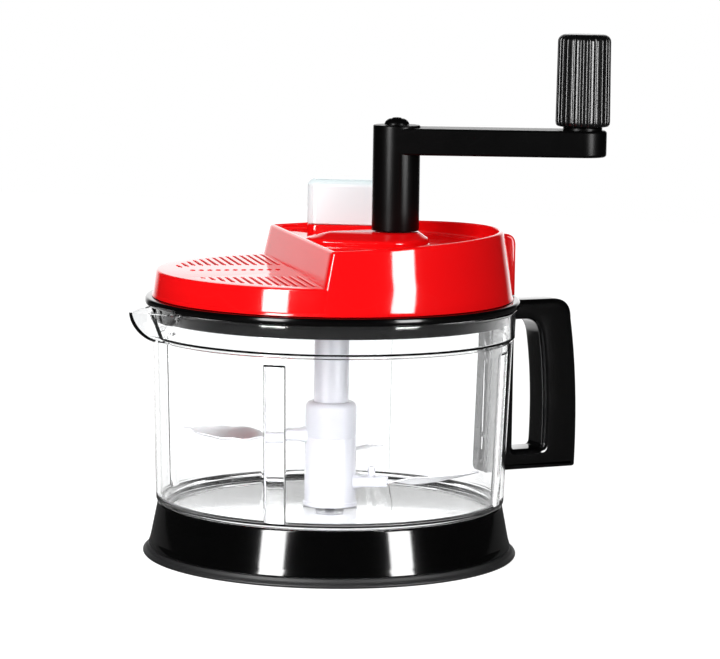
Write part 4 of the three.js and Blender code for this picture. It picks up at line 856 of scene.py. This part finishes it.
quarter = [k / 5 * pi / 2 for k in range(6)]
rings = [housing_ring(z, inset) for z, inset in (
    (RECESS - CASE_WALL, CASE_WALL), (LID_BOTTOM, CASE_WALL), (LID_BOTTOM, 0.3), (LID_BOTTOM + 0.3, 0),
    (LID_BOTTOM + 2, 0), (DECK, 0), (170, 0))]
rings += [housing_ring(1.5 * (sin(a) - 1), 1.5 * (1 - cos(a)), tilt=1) for a in quarter]
rings += [housing_ring(0.9 * (cos(a) - 1), LID_WALL - 0.9 * (1 - sin(a)), tilt=1) for a in quarter]
rings += [housing_ring(RECESS + 1.6 - 1.6 * sin(a), LID_WALL + 1.6 * (1 - cos(a))) for a in quarter]
housing = lofted("housing", rings)
print("housing rings:", len(rings), "points round:", len(rings[0]))

# %% [markdown]
# The island is a keyhole shaped step in the tray of the housing that carries the crank's bearing. Its
# outline is two circles joined by tangents. Its top is a low dome that rises to the crank, so it looks
# red all over, where a flat top would mirror the white room. The dome is the last rings, drawn in.


# %% Island, thumb tab and chute
def island_ring(z, inset):
    small, large, apart = 16 - inset, 27 - inset, 28 + 0.6 * max(0.0, inset)
    touch = pi / 2 + atan2(large - small, sqrt(apart ** 2 - (large - small) ** 2))
    ring = [(apart + large * cos(a), large * sin(a), z) for a in arc(-touch, touch, 48)]
    ring += [(small * cos(a), small * sin(a), z) for a in arc(touch, 2 * pi - touch, 30)]
    return ring


FILLET, EDGE_BOTTOM, EDGE, DOME_BOTTOM, DOME_INSET, DOME_RUN = 1.2, 179.9, 2, 181.8, 1.48, 11.92
island = lofted(
    "island", [island_ring(176, -FILLET), island_ring(RECESS, -FILLET)]
    + [island_ring(RECESS + FILLET * sin(a), -FILLET * cos(a)) for a in quarter[1:]]
    + [island_ring(EDGE_BOTTOM + EDGE * sin(a), EDGE * (1 - cos(a))) for a in arc(0, radians(75), 6)]
    + [island_ring(DOME_BOTTOM + (ISLAND - DOME_BOTTOM) * k / 4, DOME_INSET + DOME_RUN * k / 4)
       for k in range(1, 5)])
TAB_TOP, TAB_OUT, TAB_IN = 184, 105.4, 94.4
tab = upright(prism("thumb_tab", [[
    (TAB_IN, LID_BOTTOM), (TAB_OUT, LID_BOTTOM),
    *curved((TAB_OUT, 177), (TAB_OUT, TAB_TOP), (98.4, TAB_TOP), 8), (TAB_IN, TAB_TOP)]], -8.5, 8.5, 1.6, 5))
tab_room = turned("tab_room", [
    (0, 140), (lid_radius(150) - 1.2, 140), *[(lid_radius(z) - 1.2, z) for z in (150, DECK, LID_TOP)],
    (0, LID_TOP)])
tab = combined(tab, [tab_room], "DIFFERENCE")

CHUTE_LENGTH, CHUTE_DEPTH, CHUTE_CORNER, CHUTE_WALL, CHUTE_TOP, CHUTE_EDGE = 50, 26, 6, 2.2, 183, 0.9


def box_ring(inset, z):
    """The chute's outline, drawn in. The pusher that closes the chute has the same outline."""
    outline = rounded_box(CHUTE_LENGTH - 2 * inset, CHUTE_DEPTH - 2 * inset, CHUTE_CORNER - inset)
    return [(x, y, z) for x, y in outline]


sleeve = lofted(
    "chute_sleeve", [box_ring(0, 137.4)]
    + [box_ring(CHUTE_EDGE * (1 - cos(a)), CHUTE_TOP - CHUTE_EDGE * (1 - sin(a))) for a in quarter]
    + [box_ring(CHUTE_WALL - 0.6 * (1 - sin(a)), CHUTE_TOP - 0.6 * (1 - cos(a))) for a in quarter]
    + [box_ring(CHUTE_WALL, 137.4)], tube=True)
moved(sleeve, CHUTE)

# %% [markdown]
# The deck's slots and holes are cutters set out by the copying tree and taken out of the disc in one
# Boolean. On the real grater each slot has a raised lip that does the cutting, so the same places get a
# low ridge too, and without it the deck would look printed.


# %% Grater deck
def slot_places(pitch=4.5, reach=91.0):
    """The middle and the length of each slot: behind the row of holes, and in front of it."""
    places = []
    for i in range(14):
        x = -27.2 - pitch * i
        side = sqrt(reach ** 2 - x ** 2)
        near = 27 if i < 12 else 18 + 4 * (13 - i)
        places.append((x, (near + side) / 2, side - near))
        if i < 13 and side > 40:
            places.append((x, -(34 + side - 1) / 2, side - 1 - 34))
    return places


HOLE = 1.0
slots = slot_places()
slot_spots, slot_lengths = [(x, y, 0) for x, y, _ in slots], [length / 10 for _, _, length in slots]
dots = [(-31.8 - 4.88 * i, 1.5, 0) for i in range(11)]
slot_cutter = prism("slot_cutter", [rounded_box(1.35, 10, 0.6, 3)], 156, 166)
slot_cutters = copies("slot_cutters", slot_cutter, slot_spots, stretch=slot_lengths)
dot_cutters = copies("dot_cutters", rod(HOLE, 156, 166, 16), dots)
ridge = lofted("ridge", [[(x, y, DECK + z) for x, y in rounded_box(0.9 - 2 * i, 9.6 - i, 0.4, 3)]
                         for i, z in ((0, -0.6), (0, 0.12), (0.12, 0.32), (0.3, 0.4))])
ridges = copies("ridges", ridge, [(x + 1.25, y, z) for x, y, z in slot_spots], stretch=slot_lengths)
collar = turned("dot_collar", rounded([
    (HOLE, DECK - 0.5), (1.6, DECK - 0.5), (1.6, DECK + 0.1, 0.1), (1.1, DECK + 0.35, 0.1),
    (HOLE, DECK + 0.3),
]), segments=16)
collars = copies("collars", collar, dots)

disc = turned("deck_disc", rounded([
    (0, DECK - CASE_WALL), (lid_radius(DECK) - CASE_WALL, DECK - CASE_WALL, 1), (100.98, LID_BOTTOM),
    (103.38, LID_BOTTOM, 0.3), (102.38, LID_BOTTOM + 2, 0.4), (lid_radius(DECK) - 0.02, DECK, 1.5), (0, DECK),
]), segments=224)
case_room = lofted("case_room", [housing_ring(148, 2.2), housing_ring(164.5, 2.2)])
disc = combined(disc, [case_room, slot_cutters, dot_cutters], "DIFFERENCE")
chute_hole = moved(prism("chute_hole", [rounded_box(46, 22, 4.2)], 140, 190), CHUTE)
housing = combined(housing, [chute_hole], "DIFFERENCE")
housing = combined(housing, [island])
SPINDLE, SCREW_BOSS = 8.3, 3.9
housing = combined(housing, [moved(rod(SPINDLE, 140, 190, 56), GEAR)], "DIFFERENCE")
bosses = []
for x, y in lid_spots:
    head = 161 if x < -23 else 175.5
    boss = turned("boss", rounded([
        (SCREW_WAY, WEB_TOP + GAP), (SCREW_BOSS, WEB_TOP + GAP, 0.4), (SCREW_BOSS, head), (SCREW_WAY, head),
    ]), segments=24)
    bosses.append(moved(boss, shift(x, y, 0)))
bearing_tube = moved(turned("bearing_tube", oblong(SPINDLE, 11.5, 157.9, 183), segments=48), GEAR)
pinion_stub = turned("pinion_stub", [
    (0, 148.6), (3, 148.6), (3, 154.6), (6, 154.6), (6, 176.5), (0, 176.5)], segments=32)
lid_cover = joined("lid", housing, disc, ridges, collars, tab, sleeve, bearing_tube, pinion_stub, *bosses)
fitted(moved(lid_cover, LID), "lid_body", gloss_red, "lid_cover")

# %% [markdown]
# ## Pusher
# A white cap that closes the feed chute. It is a rounded block with a stem that reaches down the chute,
# hollow from below, so its rings run up the inside, out and over the top.

# %% Pusher
STEM_INSIDE, STEM, STEM_BOTTOM, CAP_BOTTOM, CAP_TOP, CAP_EDGE = 4.5, 2.5, 138.2, 183.3, 209.7, 4.4
rings = [box_ring(inset, z) for inset, z in (
    (STEM_INSIDE, 203.5), (STEM_INSIDE, STEM_BOTTOM), (STEM, STEM_BOTTOM), (STEM, CAP_BOTTOM),
    (0.4, CAP_BOTTOM), (0, CAP_BOTTOM + 0.4))]
rings += [box_ring(CAP_EDGE * (1 - cos(a)), CAP_TOP - CAP_EDGE * (1 - sin(a))) for a in arc(0, pi / 2, 8)]
pusher = moved(lofted("pusher", rings), AT_CHUTE)
fitted(pusher, "pusher_body", cap_white, "pusher")

# %% [markdown]
# ## Crank
# A post stands on the gear's spindle and carries a flat arm, hollow underneath with cross ribs so that
# the moulding cools evenly. The arm is a flat curve with a rounded bevel, and the post, its head and the
# collar under the grip are turned.

# %% Crank arm
ARM_BOTTOM, ARM_TOP, POST_BOTTOM, HEAD_TOP, POST, HEAD, END = 229.4, 244.6, 185.6, 245.9, 13.6, 13.5, 13.9
plan = [(HEAD * cos(a), HEAD * sin(a)) for a in arc(pi / 2, 3 * pi / 2, 24)]
plan += [(CRANK_REACH + END * cos(a), END * sin(a)) for a in arc(-pi / 2, pi / 2, 32)]
arm = prism("crank_arm", [plan], ARM_BOTTOM, ARM_TOP, 1.7, 5)
post = turned("post", rounded([
    (0, POST_BOTTOM), (POST, POST_BOTTOM, 0.8), (HEAD, 243.4, 4), (HEAD, HEAD_TOP, 0.8), (0, HEAD_TOP),
]), segments=72)
collar = turned("grip_collar", rounded([(0, 241), (11.2, 241), (11.2, 246.4, 0.6), (0, 246.4)]), segments=56)
arm = combined(arm, [post, moved(collar, ARM_END)])

BAYS, BAY_START, BAY_RIB = 4, 15.2, 2.4
length = (CRANK_REACH - 13.4 - BAY_START - (BAYS - 1) * BAY_RIB) / BAYS
cutters = [prism("bay", [rounded(oblong(x, x + length, -10.4, 10.4, 1.2), closed=True)], 220, 241.2)
           for x in [BAY_START + i * (length + BAY_RIB) for i in range(BAYS)]]
pin_way = turned("pin_way", [
    (0, 220), (5.7, 220), (5.7, 231.6), (3.3, 231.6), (3.3, 250), (0, 250)], segments=32)
cutters += [prism("socket", [oblong(-5.3, 5.3, -5.3, 5.3)], 180, 203.3), rod(2.56, 202, 250, 24),
            moved(pin_way, ARM_END)]
arm = combined(arm, cutters, "DIFFERENCE")
fitted(moved(arm, AT_CRANK), "crank_body", satin_black, "crank_arm")

# %% [markdown]
# The screw that holds the crank has a low domed head with a groove round its middle. The grip is the
# turned piece with the flutes: 24 lands that fade out at both ends, where the profile gives them no share.

# %% Crank screw and grip
dome = [(7.1 * cos(a), 246.2 + 4.1 * sin(a)) for a in [k / 14 * pi / 2 for k in range(15)]]
dome = [(r, z if abs(r - 3.6) > 0.55 else z - 0.5) for r, z in dome]
crank_screw = turned("crank_screw", [(0, 191), (2, 191), (2, 246.2), *dome[:-1], (0, 250.3)], segments=64)
fitted(moved(crank_screw, AT_CRANK), "crank_body", satin_black, "crank_screw")

FLUTES, BORE, GRIP_FOOT, GRIP_HEAD = 24, 3.56, 15.55, 15.1
GRIP_BOTTOM, GRIP_SHOULDER, GRIP_TOP = 249.5, 294.9, 299.0
grip_profile = [(0, 286.5), (BORE, 286.5), (BORE, 246.7), (13.6, 246.7, 0), (14.6, 247.0, 0.3),
                (15.35, 248.0, 0.9), (GRIP_FOOT, GRIP_BOTTOM, 1)]
grip_profile += [(r, z, 1) for r, z in zip(
    arc(GRIP_FOOT, GRIP_HEAD, 10)[1:], arc(GRIP_BOTTOM, GRIP_SHOULDER, 10)[1:])]
grip_profile += [(GRIP_HEAD * (1 - 0.32 * (1 - cos(a))), GRIP_SHOULDER + 4.1 * sin(a), 1 - 2 * a / pi)
                 for a in arc(0, pi / 2, 6)[1:]]
grip_profile += [(5, GRIP_TOP, 0), (0, GRIP_TOP, 0)]
grip = turned("grip", grip_profile, segments=FLUTES * 14, flutes=FLUTES, depth=1.15)
fitted(moved(grip, AT_GRIP), "grip_body", grip_black, "grip", angle=50)

# %% [markdown]
# ## Rotor
# The white shaft reaches from the bowl's floor up into the gear plate. A sleeve on it carries three arms,
# and each arm holds a blade. The arms are short lofts with rounded sections, set at the blades' heights.

# %% Shaft and hub
SHAFT, SHAFT_BOTTOM, SHAFT_TOP, HEX = 10, 31.5, 136.3, 6.35
SLEEVE, SLEEVE_BOTTOM, SLEEVE_TOP, SLEEVE_BORE, PIN_ROOM = 14.7, 28.6, 87.9, 10.3, 3.6
hexagon = [(HEX * cos(radians(60 * k + 30)), HEX * sin(radians(60 * k + 30))) for k in range(6)]
shaft = turned("rotor_shaft", rounded([
    (BORE, SHAFT_BOTTOM), (SHAFT, SHAFT_BOTTOM, 0.3), (SHAFT, SHAFT_TOP, 1.2), (BORE, SHAFT_TOP),
]), segments=64)
shaft_hex = prism("shaft_hex", [hexagon], 120, 144.6, 0.4, 2)
fitted(moved(joined("rotor_shaft", shaft, shaft_hex), LID), "rotor_body", milk_white, "rotor_shaft")

BLADES = {"upper": (68.6, 169, 0.6), "middle": (52.0, 67, -2.5), "lower": (42.6, -16, 9.0)}
ARM_SECTIONS = ((12.3, 13, 9), (15.5, 12, 8), (18.1, 11, 6.4), (24, 10, 6.4), (32, 9, 6.2), (33, 8.2, 5.4))


def arm_section(x, width, tall, z):
    return [(x, y, z + v) for y, v in rounded_box(width, tall, min(width, tall) * 0.3, 4)]


hub_pieces = [turned("hub_sleeve", rounded([
    (PIN_ROOM, SLEEVE_BOTTOM), (15.6, SLEEVE_BOTTOM, 0.5), (15.6, 30.4, 0.5), (SLEEVE, 31.3, 0.4),
    (SLEEVE, 66.9), (14.2, 67.7, 0.2), (SLEEVE, 68.5), (SLEEVE, SLEEVE_TOP, 3.4),
    (SLEEVE_BORE, SLEEVE_TOP, 0.4), (SLEEVE_BORE, 31.2), (PIN_ROOM, 31.2),
]), segments=72)]
for label, (height, turn, _) in BLADES.items():
    carrier = lofted(label + "_carrier", [arm_section(*section, height) for section in ARM_SECTIONS])
    hub_pieces.append(moved(carrier, about_z(turn)))
peg = turned("peg", rounded([(0, 43), (2.5, 43), (2, 51, 0.6), (0, 51)]), segments=24)
hub_pieces.append(moved(peg, about_z(-16) @ shift(23.7, 0, 0)))
fitted(moved(joined("blade_hub", *hub_pieces), LID), "rotor_body", milk_white, "blade_hub")

# %% [markdown]
# ## Blades
# Each blade is thin sheet steel: a flat tongue in its arm, then a body that twists, sweeps back and ends
# in a narrow tip. Its leading edge is wavy and ground thin. A strip of stations follows the same rule as
# the CAD, with more of them, and a section that comes to an edge on one side.

# %% Blades
TONGUE, TONGUE_START, TONGUE_END, BLADE_LENGTH, BLADE_WIDTH, STATIONS = 6.4, 27, 33.3, 52.2, 15, 64


def blade_section(x, width, height, pitch=0.0, sweep=0.0, ground=0.0):
    """One station of a blade. ground is how thin its leading edge is, from 0 to 1."""
    w, t = width / 2, 0.6
    edge = w * (1 - 0.42 * ground)
    shape = [(-w, -0.12), (-edge, -t), (0, -t), (w - 0.3, -t), (w, 0), (w - 0.3, t), (0, t), (-edge, t),
             (-w, 0.12)]
    return [(x, sweep + y * cos(pitch) - v * sin(pitch), height + y * sin(pitch) + v * cos(pitch))
            for y, v in shape]


def blade_rings(height, rise):
    rings = [blade_section(x, TONGUE, height) for x in (TONGUE_START, TONGUE_END)]
    for i in range(1, STATIONS + 1):
        share = i / STATIONS
        swell = max(0.0, sin(pi * min(1.0, share ** 1.1 * 1.12))) ** 0.7
        scallop = 0.9 * sin(2 * pi * 4 * share) * swell
        taper = TONGUE - 2.4 * share
        width = taper + (BLADE_WIDTH - taper) * swell + scallop
        grown_in = min(1.0, 4 * share)
        rings.append(blade_section(
            TONGUE_END + BLADE_LENGTH * share, width, height + rise * share * share,
            radians(-28 + 16 * share) * grown_in, -13 * share * share + 4 * swell / 2, grown_in))
    return rings


for label, (height, turn, rise) in BLADES.items():
    blade = moved(lofted(label + "_blade", blade_rings(height, rise)), LID @ about_z(turn))
    cleaned(blade.data, turn_out=True)
    fitted(blade, "rotor_body", blade_steel, label + "_blade", angle=24)

# %% [markdown]
# ## CAD solids that stay
# The gears and the two pins are right as they are and mostly hidden, so they only get a finish.

# %% Finish the kept solids
kept = {"drive_gear": nylon, "drive_pinion": nylon, "blade_pin": screw_steel, "grip_pin": screw_steel}
for name, finish in kept.items():
    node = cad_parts[name]
    node.data.materials.clear()
    node.data.materials.append(finish)
print("kept:", sorted(kept))

# %% [markdown]
# ## Light, floor and background
# The photograph has two tall softboxes, one on each side of the camera, which show as upright white
# bars in the glossy plastic. A lamp that only mirrors see gives each bar, and a wide softbox that only
# matt surfaces see gives the light, so each can be set without the other.

# %% Lamps
AIM = Vector((0, 0, 0.12))


def softbox(name, azimuth, elevation, distance, width, height, radiance, mirrored):
    """A lamp that looks at the bowl. radiance 1 looks as bright as white paper."""
    data = bpy.data.lights.new(name, "AREA")
    data.shape = "RECTANGLE"
    data.size, data.size_y = width, height
    data.energy = radiance * pi * width * height
    lamp = link(name, data)
    a, e = radians(azimuth), radians(elevation)
    spot = Vector((cos(a) * cos(e), sin(a) * cos(e), sin(e))) * distance
    lamp.matrix_world = Matrix.Translation(spot + AIM) @ spot.to_track_quat("Z", "Y").to_matrix().to_4x4()
    lamp.visible_camera = False
    lamp.visible_glossy = lamp.visible_transmission = mirrored
    lamp.visible_diffuse = not mirrored


softbox("left_strip", -149.8, 16, 1.1, 0.30, 0.80, 29, True)
softbox("right_strip", -69.5, 8, 1.1, 0.28, 0.66, 27, True)
softbox("left_light", -140, 28, 1.3, 0.7, 0.7, 8, False)
softbox("right_light", -62, 30, 1.3, 0.7, 0.7, 1.2, False)

# %% [markdown]
# What a mirror or a clear wall shows of the room depends on where it looks. Straight behind the object
# is a bright backdrop, and the rest of the room is dark, or black plastic would turn grey. A ray that
# only passed through the clear bowl still finds white, as the camera does. Light Path's depths tell the
# two apart, and one group of levels serves both the world and the floor.

# %% Levels of the room
TO_CAMERA = (-0.4147, -0.9100, 0.0)
LEVELS = {
    "Mirrored": (-0.985, -0.86, 1.6, 0.015),
    "Inside": (-1.0, 0.4, 2.2, 0.3),
    "Through": (0.0, 0.9, 1.35, 0.9),
}
room, room_in, room_out = new_group(
    "room_levels", "ShaderNodeTree", {"Direction": "Vector"}, dict.fromkeys(LEVELS, "Float"))
toward = add_node(room, "ShaderNodeVectorMath", {0: room_in["Direction"]}, operation="NORMALIZE").outputs[0]
facing = add_node(room, "ShaderNodeVectorMath", {0: toward, 1: TO_CAMERA}, operation="DOT_PRODUCT")
facing = facing.outputs["Value"]
for label, numbers in LEVELS.items():
    room.links.new(ramp(room, facing, *numbers), room_out[label])


def room_level(tree, direction):
    """How bright the room is for a ray that was mirrored or refracted, and whether it is such a ray."""
    path = add_node(tree, "ShaderNodeLightPath").outputs
    levels = add_node(tree, "ShaderNodeGroup", {0: direction}, node_tree=room).outputs
    bounced = sums(tree, "GREATER_THAN", path["Glossy Depth"], 0.5)
    inside = sums(tree, "GREATER_THAN", path["Transmission Depth"], 1.5)
    mirrored = mixed(tree, inside, levels["Mirrored"], levels["Inside"])
    level = mixed(tree, bounced, levels["Through"], mirrored)
    sharp = sums(tree, "MAXIMUM", path["Is Glossy Ray"], path["Is Transmission Ray"])
    sharp = sums(tree, "MULTIPLY", sharp, sums(tree, "LESS_THAN", path["Diffuse Depth"], 0.5))
    return level, sharp, path["Is Camera Ray"]


print("room levels:", [item.name for item in room.interface.items_tree])

# %% World
ROOM_LEVEL, WHITE = 0.5, 1.0
world = bpy.data.worlds.new("studio")
bpy.context.scene.world = world
world.use_nodes = True
tree = world.node_tree
level, sharp, direct = room_level(tree, add_node(tree, "ShaderNodeTexCoord").outputs["Generated"])
level = mixed(tree, direct, mixed(tree, sharp, ROOM_LEVEL, level), WHITE)
tree.links.new(level, tree.nodes["Background"].inputs["Color"])
print("world nodes:", len(tree.nodes))

# %% Floor
FLOOR_REACH, FLOOR_TOP, FLOOR_BOTTOM = 3000, -0.05, -20.0
floor_material, tree, matte = new_material("pale_floor")
matte.inputs["Base Color"].default_value = (0.8, 0.8, 0.8, 1)
matte.inputs["Roughness"].default_value = 0.9
matte.inputs["Specular IOR Level"].default_value = 0.0
level, sharp, direct = room_level(tree, object_place(tree))
glow = add_node(tree, "ShaderNodeEmission", {"Color": mixed(tree, direct, level, 1.5)})
seen = sums(tree, "MULTIPLY_ADD", direct, 0.6, sums(tree, "MULTIPLY", sharp, 0.9))
blend = add_node(tree, "ShaderNodeMixShader", {0: seen, 1: matte.outputs[0], 2: glow.outputs[0]})
tree.links.new(blend.outputs[0], tree.nodes["Material Output"].inputs["Surface"])
floor = lofted("floor", [[(FLOOR_REACH * cos(pi / 2 * k), FLOOR_REACH * sin(pi / 2 * k), z) for k in range(4)]
                         for z in (FLOOR_BOTTOM, FLOOR_TOP)])
floor.data.materials.append(floor_material)
bpy.context.scene.view_settings.view_transform = "Standard"
print("floor top in mm:", FLOOR_TOP)
